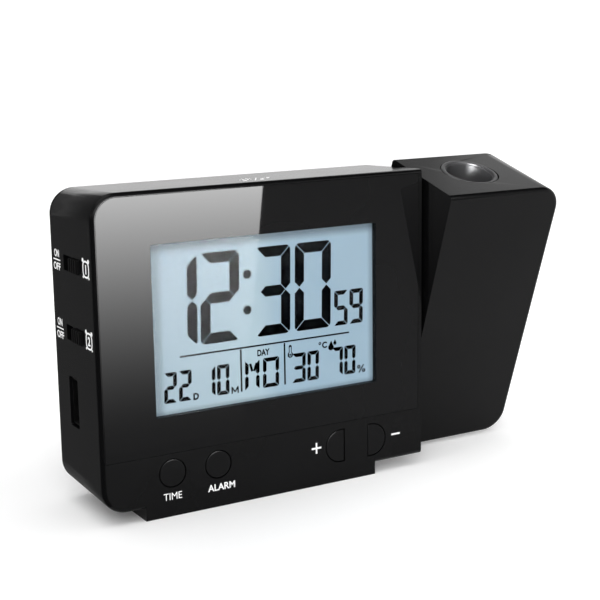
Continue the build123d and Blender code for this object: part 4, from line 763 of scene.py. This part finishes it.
# ------------------------------------------------------------------ prints
class CLOCK_OT_prints(bpy.types.Operator):
    """White captions, signs and little icons on the case"""

    bl_idname = "clock.prints"
    bl_label = "Prints"

    def execute(self, context):
        sizes = context.scene.clock_prints
        self.film = sizes.film_mm
        self.white = self.print_ink(context.scene.clock_finishes.print_white)
        caption_v = 2.36
        for word, u, width, weight in (("TIME", 20.7, 5.6, 0.0), ("ALARM", 35.9, 8.6, 0.02)):
            letters = lettering(word, sizes.caption_height_mm, self.film, width=width, weight=weight)
            self.front(f"caption_{word.lower()}", u, caption_v, [letters])
        arm, half = sizes.sign_size_mm / 2, 0.275
        notch = np.array([(-half, arm), (-half, half), (-arm, half)])
        quarter_turn = np.array([(0, 1), (-1, 0)])
        cross = np.concatenate([notch @ np.linalg.matrix_power(quarter_turn, turns) for turns in range(4)])
        self.front("sign_plus", 67.4, 8.1, [flat_shape([cross], self.film)])
        minus = bar_outline(-arm * 0.94, 0, arm * 0.94, 0, 2 * half)
        self.front("sign_minus", 95.5, 7.9, [flat_shape([minus], self.film)])
        caption = sizes.switch_caption_mm
        for number, v in (("1", 67.5), ("2", 48.0)):
            self.side(
                f"caption_on_off_{number}", 26.3, v,
                [
                    lettering("ON", caption, self.film, (0, 1.85), 3.6),
                    flat_shape([bar_outline(-2.6, 0, 2.6, 0, 0.35)], self.film),
                    lettering("OFF", caption, self.film, (0, -1.85), 5.2),
                ],
            )
            self.side(f"mark_alarm_{number}", 4.8, v + 0.2, self.bell_clock(number, sizes.bell_clock_mm))
        above = 100 + OUTSIDE_MM
        place = place_on("front_housing", case_point(54.0, 9.0, above), -UP, ACROSS)
        printed("mark_light_snooze", self.light_and_snooze(), place, self.film, self.white)
        return {"FINISHED"}

    def front(self, name, u, v, parts):
        """Lays a mark on the front of the button strip."""
        place = place_on("front_housing", case_point(u, -OUTSIDE_MM, v), BACK, ACROSS)
        printed(name, parts, place, self.film, self.white)

    def side(self, name, d, v, parts):
        """Lays a mark on the left end, read from the left. Its plane is that of the wall above the slot."""
        front_half, above_slot = min(d, 12), v + 5
        place = place_on("front_housing", case_point(-OUTSIDE_MM, front_half, above_slot), ACROSS, -BACK)
        origin = case_point(0, d, v)
        origin[0] = place[0][0]
        printed(name, parts, (origin, *place[1:]), self.film, self.white)

    def bell_clock(self, number, height):
        """Squarish ring with two bells above, two feet below and a number in it."""
        wide, tall, line, bell_r = (height * share for share in (0.41, 0.43, 0.09, 0.11))
        ring = [self.squircle(wide, tall), self.squircle(wide - line, tall - line)]
        extras = []
        for side in (-1, 1):
            extras.append(disc_outline(side * wide * 0.86, tall * 0.98, bell_r, 20))
            foot = np.array([side * wide * 0.8, -tall * 0.84])
            extras.append(bar_outline(*foot, *(foot * 1.22), line * 1.3))
        figure = lettering(number, height * 0.46, self.film, weight=0.035)
        return [flat_shape(ring, self.film), flat_shape(extras, self.film), figure]

    def squircle(self, wide, tall):
        """Rounded square: |x / wide| and |y / tall|, cubed, add up to one."""
        turn = full_turn(48)
        curl = 2 / 3
        reaches = ((wide, np.cos(turn)), (tall, np.sin(turn)))
        return np.stack([reach * np.sign(part) * np.abs(part) ** curl for reach, part in reaches], -1)

    def light_and_snooze(self):
        """Little lamp, a rule and two letters z, all long in depth so that they read from the front."""
        middle = (-4.2, 0.4)
        lamp = [disc_outline(*middle, radius) for radius in (1.35, 0.85)]
        lamp.append(bar_outline(-4.9, -1.5, -3.5, -1.5, 0.6))
        for angle in np.radians([0, 45, 90, 135, 180]):
            spoke = np.array([math.cos(angle), math.sin(angle)])
            lamp.append(bar_outline(*(spoke * 1.75 + middle), *(spoke * 2.4 + middle), 0.45))
        parts = [
            flat_shape(lamp + [bar_outline(-0.2, -2.1, -0.2, 2.1, 0.5)], self.film),
            lettering("z", 2.4, self.film, (2.4, -0.7), 2.0, 0.05),
            lettering("z", 1.9, self.film, (4.6, 0.9), 1.7, 0.05),
        ]
        narrow, long, shear = 0.82, 1.9, 0.56
        stretched = []
        for points, faces in parts:
            across, deep = points[:, 0] * narrow, points[:, 1] * long
            stretched.append((np.stack([across + shear * deep, deep, points[:, 2]], -1), faces))
        return stretched

    def print_ink(self, colour):
        """Pad-printed ink: matt white, faintly thin in places."""
        finish = Finish("pad_print", Base_Color=colour, Roughness=0.55, Specular_IOR_Level=0.3)
        finish.mottle(colour, 1500.0, 3.0, dark=0.86, light=1.0, stops=(0.25, 0.5))
        finish.bump(finish.noise(5000.0), 0.003)
        return finish.material


# ------------------------------------------------------------------ shells, panel and controls
class CLOCK_OT_shells(bpy.types.Operator):
    """Satin black shells of the case and the arm, with the battery door"""

    bl_idname = "clock.shells"
    bl_label = "Shells"

    def execute(self, context):
        colours = context.scene.clock_finishes
        black = moulded_plastic("moulded_black", colours.housing, colours.housing_roughness, 0.09)
        for node in ("front_housing", "back_cover", "arm_housing", "arm_cover", "battery_door"):
            dress(node, black, 0.12)
        return {"FINISHED"}


class CLOCK_OT_panel(bpy.types.Operator):
    """Polished front panel and the clear window in it"""

    bl_idname = "clock.panel"
    bl_label = "Front panel"

    def execute(self, context):
        colours = context.scene.clock_finishes
        dress("front_panel", polished_plastic("polished_black", colours.panel, 0.03, 0.1), 0.1)
        dress("lcd_window", self.window())
        return {"FINISHED"}

    def window(self):
        """Coated clear window with low reflection, masked black on all faces but its front and back."""
        finish = Finish("clear_window", Roughness=0.0, IOR=1.1)
        facing = finish.axis("Y", finish.nodes.new("ShaderNodeTexCoord").outputs["Normal"])
        clear = finish.math("GREATER_THAN", finish.math("ABSOLUTE", facing, 0.0), 0.5)
        finish.vary("Transmission Weight", clear)
        finish.vary("Base Color", finish.ramp(clear, (0.0, (0.002, 0.002, 0.002)), (1.0, (1.0, 1.0, 1.0))))
        return finish.material


class CLOCK_OT_controls(bpy.types.Operator):
    """Buttons and alarm sliders"""

    bl_idname = "clock.controls"
    bl_label = "Buttons and sliders"

    def execute(self, context):
        colours = context.scene.clock_finishes
        key = moulded_plastic("button_satin", shade(colours.housing, 1.1), 0.22, 0.09, 0.18)
        for node in ("time_button", "alarm_button", "plus_button", "minus_button"):
            dress(node, key, 0.5)
        grip = moulded_plastic("slider_matt", shade(colours.housing, 0.8), 0.5, 0.13, 0.15)
        for node in ("alarm1_slider", "alarm2_slider"):
            dress(node, grip, 0.08)
        return {"FINISHED"}


# ------------------------------------------------------------------ projector
class CLOCK_OT_projector(bpy.types.Operator):
    """Turned focus ring and the lens, cell and barrel under it"""

    bl_idname = "clock.projector"
    bl_label = "Projector"

    def execute(self, context):
        points, faces = turned(self.ring_profile(context.scene.clock_ring), 160, LENS_AT, ARM_UP)
        piece = add_piece("focus_ring_turned", points, faces, self.bell(), "focus_dial", 35)
        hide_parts("focus_ring")
        inner = moulded_plastic("inner_black", (0.006, 0.006, 0.006), 0.5, 0.3)
        for node in ("lens_cell", "projector_barrel"):
            dress(node, inner)
        glass = clear_plastic("lens_glass_polished", (0.97, 0.98, 1.0), 0.0, 1.52)
        for node in ("projection_lens", "condenser_lens"):
            dress(node, glass)
        return {"FINISHED"}

    def ring_profile(self, ring):
        """Closed (radius, height) profile of the ring, in mm from the lens axis and its origin.

        Rim, flange and skirt are read off the CAD ring: the flange is where its points lie furthest out.
        """
        spokes = mesh_points(NODES["focus_ring"].data) - LENS_AT
        heights = spokes @ ARM_UP / MM
        radii = np.linalg.norm(spokes - (spokes @ ARM_UP)[:, None] * ARM_UP, axis=1) / MM
        rim, skirt, flange_r = heights.max(), heights.min(), radii.max()
        flange = heights[radii > flange_r - 0.01]
        flange_low, flange_top = flange.min(), flange.max()
        mouth_r, rim_r, bore_r = ring.mouth_r_mm, ring.rim_r_mm, ring.bore_r_mm
        skirt_r, step_r, edge_r = 8.2, mouth_r - 0.45, mouth_r - 0.1
        throat, step, edge = rim - ring.bell_l_mm, rim - 0.7, rim - 0.6
        lip = land = 0.35
        profile = eased(
            [
                (mouth_r, rim, 0.3), (rim_r, rim, lip), (rim_r, flange_top, 0.1), (flange_r, flange_top, 0.1),
                (flange_r, flange_low, 0.1), (skirt_r, flange_low, 0.1), (skirt_r, skirt, 0.2),
                (bore_r, skirt, 0.2), (bore_r, throat - land, 0.1), (ring.throat_r_mm, throat, 0.15),
                (step_r, step, 0.1), (edge_r, edge, 0.08),
            ]
        )
        return np.concatenate([profile, profile[:1]])

    def bell(self):
        """Dark pearl plastic, with turning marks round the bell."""
        colour = (0.1, 0.1, 0.103)
        finish = Finish("ring_pearl", Base_Color=colour, Metallic=0.7, Roughness=0.32)
        marks = finish.noise(700.0, 2.0, (0.15, 0.15, 1.0))
        finish.vary("Roughness", finish.spread(marks, 0.28, 0.38))
        finish.bump(marks, 0.002)
        return finish.material


# ------------------------------------------------------------------ screws
def groups_of(points, reach):
    """Splits points into groups, each within reach of its first point."""
    groups = []
    while len(points):
        near = np.linalg.norm(points - points[0], axis=1) < reach
        groups.append(points[near])
        points = points[~near]
    return groups


def screw_surface(top, axis, head_r, head_h, shank_r, length):
    """Cross-recess screw as one surface from the head's middle to the tip, in mm, with its top on a point.

    The head is a low dome: its height falls as the fourth power of the radius, and a cross is sunk in it
    with walls that slope. The shank's radius is a triangle wave of the depth over the pitch plus the turn.
    """
    steps = 72
    turn = full_turn(steps)[None]
    radius = np.linspace(0, head_r, 25)[:, None]
    x, y = np.abs(radius * np.cos(turn)), np.abs(radius * np.sin(turn))
    arm_w, arm_l, sunk, slope = 0.17 * head_r, 0.62 * head_r, 0.45 * head_h, 0.18 * head_r
    inside = np.maximum(np.minimum(arm_w - y, arm_l - x), np.minimum(arm_w - x, arm_l - y))
    recess = sunk * np.clip(inside / slope + 0.5, 0, 1)
    dome = -0.35 * head_h * (radius / head_r) ** 4 - recess
    depth = np.linspace(0, length - head_h - shank_r, 90)[:, None]
    pitch, thread = 0.9, 0.28
    wave = np.abs(((depth / pitch + turn / (2 * np.pi)) % 1) * 2 - 1)
    ring = np.ones_like(turn)
    radii = [radius * ring, head_r * ring, shank_r * ring, shank_r - thread * wave, 0 * ring]
    heights = [dome, -head_h * ring, -head_h * ring, -head_h - depth * ring, -length * ring]
    radii, heights = np.concatenate(radii)[..., None] * MM, np.concatenate(heights)[..., None] * MM
    spoke = np.cos(turn)[..., None] * ACROSS + np.sin(turn)[..., None] * np.cross(axis, ACROSS)
    points = (top + radii * spoke + heights * axis).reshape(-1, 3)
    return points, facing_out(points - top, grid_faces(len(radii), steps))


class CLOCK_OT_screws(bpy.types.Operator):
    """Cross-recess screws that hold the covers of the case and the arm"""

    bl_idname = "clock.screws"
    bl_label = "Screws"

    def execute(self, context):
        dark = plated_metal("black_zinc", (0.1, 0.1, 0.105), 0.32)
        self.screws("cover_screws", BACK, "case", dark)
        self.screws("arm_screws", ARM_BACK, "projector_arm", dark)
        return {"FINISHED"}

    def screws(self, node, axis, body, material):
        """Threaded screws in place of a node's plain ones, with sizes that are read off those."""
        points = mesh_points(NODES[node].data)
        parts = []
        flat = points - (points @ axis)[:, None] * axis
        reach, widest = 5 * MM, 4 * MM
        middles = [(group.min(0) + group.max(0)) / 2 for group in groups_of(flat, reach)]
        for middle in middles:
            spokes = points - middle
            along = spokes @ axis
            away = np.linalg.norm(spokes - along[:, None] * axis, axis=1)
            own = away < widest
            along, away = along[own] / MM, away[own] / MM
            head_r, top, tip = away.max(), along.max(), along.min()
            head_h = top - along[away > 0.95 * head_r].min()
            shank_r = away[along < tip + 0.1].max()
            parts.append(screw_surface(middle + top * MM * axis, axis, head_r, head_h, shank_r, top - tip))
        points, faces = joined(parts)
        piece = add_piece(f"{node}_threaded", points, faces, material, body, 40)
        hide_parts(node)


# ------------------------------------------------------------------ inside
class CLOCK_OT_inside(bpy.types.Operator):
    """Finishes of the pieces inside the case and the arm"""

    bl_idname = "clock.inside"
    bl_label = "Inside"

    def execute(self, context):
        steel = plated_metal("plated_steel", (0.58, 0.58, 0.56), 0.3, (0.1, 1, 1))
        dark_steel = plated_metal("blackened_steel", (0.05, 0.05, 0.05), 0.4, (1, 1, 0.1))
        white = moulded_plastic("moulded_white", (0.7, 0.7, 0.68), 0.45, 0.5)
        black = moulded_plastic("component_black", (0.012, 0.012, 0.012), 0.5, 0.4)
        board = circuit_board("solder_resist")
        rubber = moulded_plastic("grey_rubber", (0.1, 0.1, 0.1), 0.8, 0.3)
        brass = plated_metal("brass_foil", (0.66, 0.5, 0.2), 0.25, (1, 1, 0.1))
        nylon = moulded_plastic("natural_nylon", (0.55, 0.54, 0.5), 0.4, 0.5)
        light = clear_plastic("frosted_guide", (0.95, 0.97, 1.0), 0.5, 1.49)
        lamp = moulded_plastic("lamp_phosphor", (0.8, 0.66, 0.15), 0.3, 0.5)
        film = clear_plastic("image_film_dark", (0.05, 0.05, 0.06), 0.1, 1.5)
        wrap = self.cell_wrap()
        groups = {
            steel: ("board_screws", "button_switches", "slide_switches", "battery_plates", "battery_springs",
                    "spring_washer", "stop_disc", "circlip", "barrel_screws"),
            dark_steel: ("usb_shell",),
            white: ("lcd_frame", "climate_sensor", "lead_socket", "lead_plug"),
            black: ("controller_chip", "board_link", "dc_inlet", "buzzer", "usb_tongue"),
            board: ("main_board", "side_board", "lamp_board"),
            rubber: ("contact_strip", "projector_lead"),
            brass: ("touch_plate",),
            nylon: ("pivot_bush",),
            light: ("light_guide",),
            lamp: ("backlight_leds", "projector_lamp"),
            film: ("image_film",),
            wrap: ("battery_cells",),
        }
        for material, nodes in groups.items():
            for node in nodes:
                dress(node, material)
        return {"FINISHED"}

    def cell_wrap(self):
        """Plain shrink wrap: two bands of colour along the cell and bare metal ends."""
        finish = Finish("cell_wrap_plain", Roughness=0.3)
        low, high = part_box("battery_cells")
        share = finish.spread(finish.axis("X"), 0.0, 1.0, low.x, high.x)
        metal, dark, pale = (0.5, 0.5, 0.48), (0.03, 0.04, 0.06), (0.35, 0.36, 0.38)
        stops = ((0.0, metal), (0.03, dark), (0.7, dark), (0.71, pale), (0.96, pale), (0.97, metal))
        finish.vary("Base Color", finish.ramp(share, *stops))
        finish.bump(finish.noise(300.0), 0.02)
        return finish.material


# ------------------------------------------------------------------ studio
class CLOCK_OT_studio(bpy.types.Operator):
    """Camera, pale floor and soft light"""

    bl_idname = "clock.studio"
    bl_label = "Studio"

    def execute(self, context):
        studio = context.scene.clock_studio
        self.camera(context.scene, studio.lens_mm)
        self.floor(studio.floor_radius)
        self.world(context.scene, studio.sky)
        self.area_light("overhead", (-0.25, -0.15, 1.1), 1.1, studio.key)
        self.area_light("fill", (-0.5, -0.9, 0.42), 0.75, studio.fill, glossy=False)
        self.cards()
        context.scene.view_settings.view_transform = "Standard"
        return {"FINISHED"}

    def camera(self, scene, lens_mm):
        """Camera at the front left, a little above the clock."""
        eye = (-0.179213, -0.342931, 0.132911)
        right = (0.86217, -0.50640, -0.01485)
        up = (0.11217, 0.16222, 0.98036)
        forward = np.cross(up, right)
        data = bpy.data.cameras.new("camera")
        data.sensor_width = 36.0
        data.lens = lens_mm
        camera = linked("camera", data)
        turn = Matrix(np.stack([right, up, -forward], -1).tolist())
        camera.matrix_world = Matrix.Translation(eye) @ turn.to_4x4()
        scene.camera = camera

    def floor(self, radius):
        """Round floor that curves up into a low rim: height grows as the square of the way past its flat."""
        flat, rim = 0.55 * radius, 0.45 * radius
        reach = np.concatenate([np.linspace(0, flat, 24), np.linspace(flat, radius, 33)[1:]])
        rise = rim * (np.clip(reach - flat, 0, None) / (radius - flat)) ** 2
        profile = np.stack([reach, rise], -1) / MM
        points, faces = turned(profile, 96, np.zeros(3), UP)
        first, second, third = points[faces[0, :3]]
        if np.cross(second - first, third - first)[2] < 0:
            faces = faces[:, ::-1]
        mesh = bpy.data.meshes.new("floor")
        mesh.from_pydata(points.tolist(), [], faces.tolist())
        mesh.shade_smooth()
        mesh.materials.append(self.floor_finish())
        floor = linked("floor", mesh)

    def floor_finish(self):
        """Matt white that glows a little to the camera, and more so away from the clock: the glow is painted
        light that thins the clock's own shadow at its right, and it is nil near the clock's left foot.
        """
        finish = Finish("pale_floor", Base_Color=(0.93, 0.93, 0.93), Roughness=0.9, Specular_IOR_Level=0.0)
        away = finish.nodes.new("ShaderNodeVectorMath")
        away.operation = "DISTANCE"
        shade_at = (-0.06, -0.005, 0.0)
        away.inputs[1].default_value = shade_at
        finish.links.new(finish.place, away.inputs[0])
        path = finish.nodes.new("ShaderNodeLightPath")
        seen = path.outputs["Is Camera Ray"]
        for ray in ("Is Glossy Ray", "Is Transmission Ray"):
            seen = finish.math("MAXIMUM", seen, path.outputs[ray])
        finish.set("Emission Color", (1, 1, 1))
        # Painted light: the glow grows with the distance from the clock's left foot and lifts the shadow
        # further out.
        shadow_lift = finish.between(away.outputs["Value"], 0.04, 0.19, 0.0, 0.36)
        finish.vary("Emission Strength", finish.times(seen, shadow_lift))
        return finish.material

    def world(self, scene, strength):
        """Even light from all round."""
        world = bpy.data.worlds.new("studio")
        world.use_nodes = True
        back = world.node_tree.nodes["Background"]
        back.inputs["Color"].default_value = (1, 1, 1, 1)
        back.inputs["Strength"].default_value = strength
        scene.world = world

    def area_light(self, name, place, size, power, glossy=True):
        """Square soft light that the camera doesn't see, aimed at the middle of the clock."""
        data = bpy.data.lights.new(name, "AREA")
        data.energy = power
        data.size = size
        lamp = linked(name, data)
        lamp.matrix_world = aimed(place, (0, 0, 0.04))
        lamp.visible_camera = False
        lamp.visible_glossy = glossy

    def cards(self):
        """Cards that only gloss and glass show: lit ones ahead, behind and beside, dim ones left and above.
        """
        ahead, left, right_top, right_foot = -60.0, 5.0, 84.9, 74.6
        top, foot, dark, full = 86.0, -3.0, -7.5, 76.2
        corners = [
            case_point(left, ahead, foot), case_point(right_foot, ahead, foot),
            case_point(right_top, ahead, top), case_point(left, ahead, top),
        ]
        levels = (case_point(0, 0, dark)[2], case_point(0, 0, full)[2])
        sides = (corners[0][0], case_point(24.0, 0, 0)[0])
        self.card("front_card", corners, 53.0, levels, 2.56, sides, 1.25)
        flag = [(0.047, -0.143), (0.108, -0.143), (0.226, -0.345), (0.165, -0.345)]
        self.card("display_flag", [(x, y, 0.0005) for x, y in flag], 0.0)
        corner = case_point(0, 0, foot)
        reach, side_end, dim = 0.6, 150, 0.2
        self.card("side_floor", self.sector(corner, reach, 75, side_end), dim)
        self.card("dark_floor", self.sector(corner, reach, side_end, 288), 0.0)
        self.wall("side_wall", corner, reach, 80, side_end, 0.6, dim)
        self.wall("dark_wall", corner, reach, side_end, 285, 0.15, 0.0)
        self.card("back_card", self.upright((0.36, 0.62), 1.0, 0.05, 0.4), 1.15)
        self.card("bell_card", self.upright((-0.12, -0.57), 0.62, 0.18, 0.42), 9.0)
        self.card("streak_card", self.upright((0.555, 0.379), 0.18, 0.37, 0.49), 1.35)
        left, right, front, back, height = 0.05, 0.95, -0.35, 0.42, 0.55
        square = [(left, front), (right, front), (right, back), (left, back)]
        self.card("top_card", [(x, y, height) for x, y in square], 0.0)

    def sector(self, corner, radius, start, end):
        """Corner, and the points of an arc round it on its level, between two bearings in degrees."""
        rim = arc_outline(*corner[:2], radius, start, end, 25)
        return [corner, *(np.array([*point, corner[2]]) for point in rim)]

    def upright(self, middle, width, foot, top):
        """Corners of an upright card that faces the clock, from its middle on the floor."""
        middle = np.array([*middle, 0.0])
        along = np.cross(UP, middle) / np.linalg.norm(middle) * width / 2
        corners = ((-1, foot), (1, foot), (1, top), (-1, top))
        return [middle + side * along + level * UP for side, level in corners]

    def wall(self, name, corner, radius, start, end, height, strength):
        """Upright card bent round a corner, along the arc of a sector."""
        rim = np.array(self.sector(corner, radius, start, end)[1:])
        faces = grid_faces(2, len(rim), closed=False)
        self.card(name, np.concatenate([rim, rim + height * UP]), strength, faces=faces)

    def card(self, name, corners, strength, levels=None, power=1.0, sides=None, least=0.0, faces=None):
        """Card that is evenly lit, or whose light grows as a power of the height between two levels.

        Sides are where a graded card starts and where it is full, across. Least is its light at the foot.
        """
        mesh = bpy.data.meshes.new(name)
        faces = [range(len(corners))] if faces is None else faces
        mesh.from_pydata([tuple(corner) for corner in corners], [], [tuple(face) for face in faces])
        finish = Finish(name, Base_Color=(0, 0, 0), Specular_IOR_Level=0.0, Emission_Color=(1, 1, 1))
        finish.set("Emission Strength", strength)
        if levels:
            share = finish.math("SUBTRACT", finish.axis("Z"), levels[0])
            share = finish.math("DIVIDE", share, levels[1] - levels[0])
            light = finish.times(finish.math("POWER", share, power), strength)
            light = finish.times(light, finish.between(finish.axis("X"), *sides))
            finish.vary("Emission Strength", finish.math("ADD", light, least))
        mesh.materials.append(finish.material)
        card = linked(name, mesh)
        card.visible_camera = False
        card.visible_diffuse = False
        card.visible_shadow = False


def aimed(place, target):
    """World matrix of a light at a place that points at a target."""
    place, target = Vector(place), Vector(target)
    return Matrix.Translation(place) @ (target - place).to_track_quat("-Z", "Y").to_matrix().to_4x4()


# ------------------------------------------------------------------ panel and registration
OPERATORS = (
    CLOCK_OT_studio, CLOCK_OT_shells, CLOCK_OT_panel, CLOCK_OT_display, CLOCK_OT_controls,
    CLOCK_OT_prints, CLOCK_OT_projector, CLOCK_OT_screws, CLOCK_OT_inside,
)
GROUPS = {
    "clock_finishes": ClockFinishes, "clock_prints": ClockPrints, "clock_display": ClockDisplay,
    "clock_ring": ClockRing, "clock_studio": ClockStudio,
}


class CLOCK_PT_pieces(bpy.types.Panel):
    """Lists the clock's sizes and the operators that make its pieces"""

    bl_label = "Projection clock"
    bl_idname = "CLOCK_PT_pieces"
    bl_space_type = "VIEW_3D"
    bl_region_type = "UI"
    bl_category = "Clock"

    def draw(self, context):
        for group, kind in GROUPS.items():
            box = self.layout.box()
            for name in kind.__annotations__:
                box.prop(getattr(context.scene, group), name)
        for operator in OPERATORS:
            self.layout.operator(operator.bl_idname)


def register():
    for kind in (*GROUPS.values(), *OPERATORS, CLOCK_PT_pieces):
        bpy.utils.register_class(kind)
    for group, kind in GROUPS.items():
        setattr(bpy.types.Scene, group, bpy.props.PointerProperty(type=kind))


def unregister():
    for group in GROUPS:
        delattr(bpy.types.Scene, group)
    for kind in (CLOCK_PT_pieces, *reversed(OPERATORS), *reversed(GROUPS.values())):
        bpy.utils.unregister_class(kind)


def main():
    register()
    for operator in OPERATORS:
        family, name = operator.bl_idname.split(".")
        getattr(getattr(bpy.ops, family), name)()


if __name__ == "__main__":
    main()
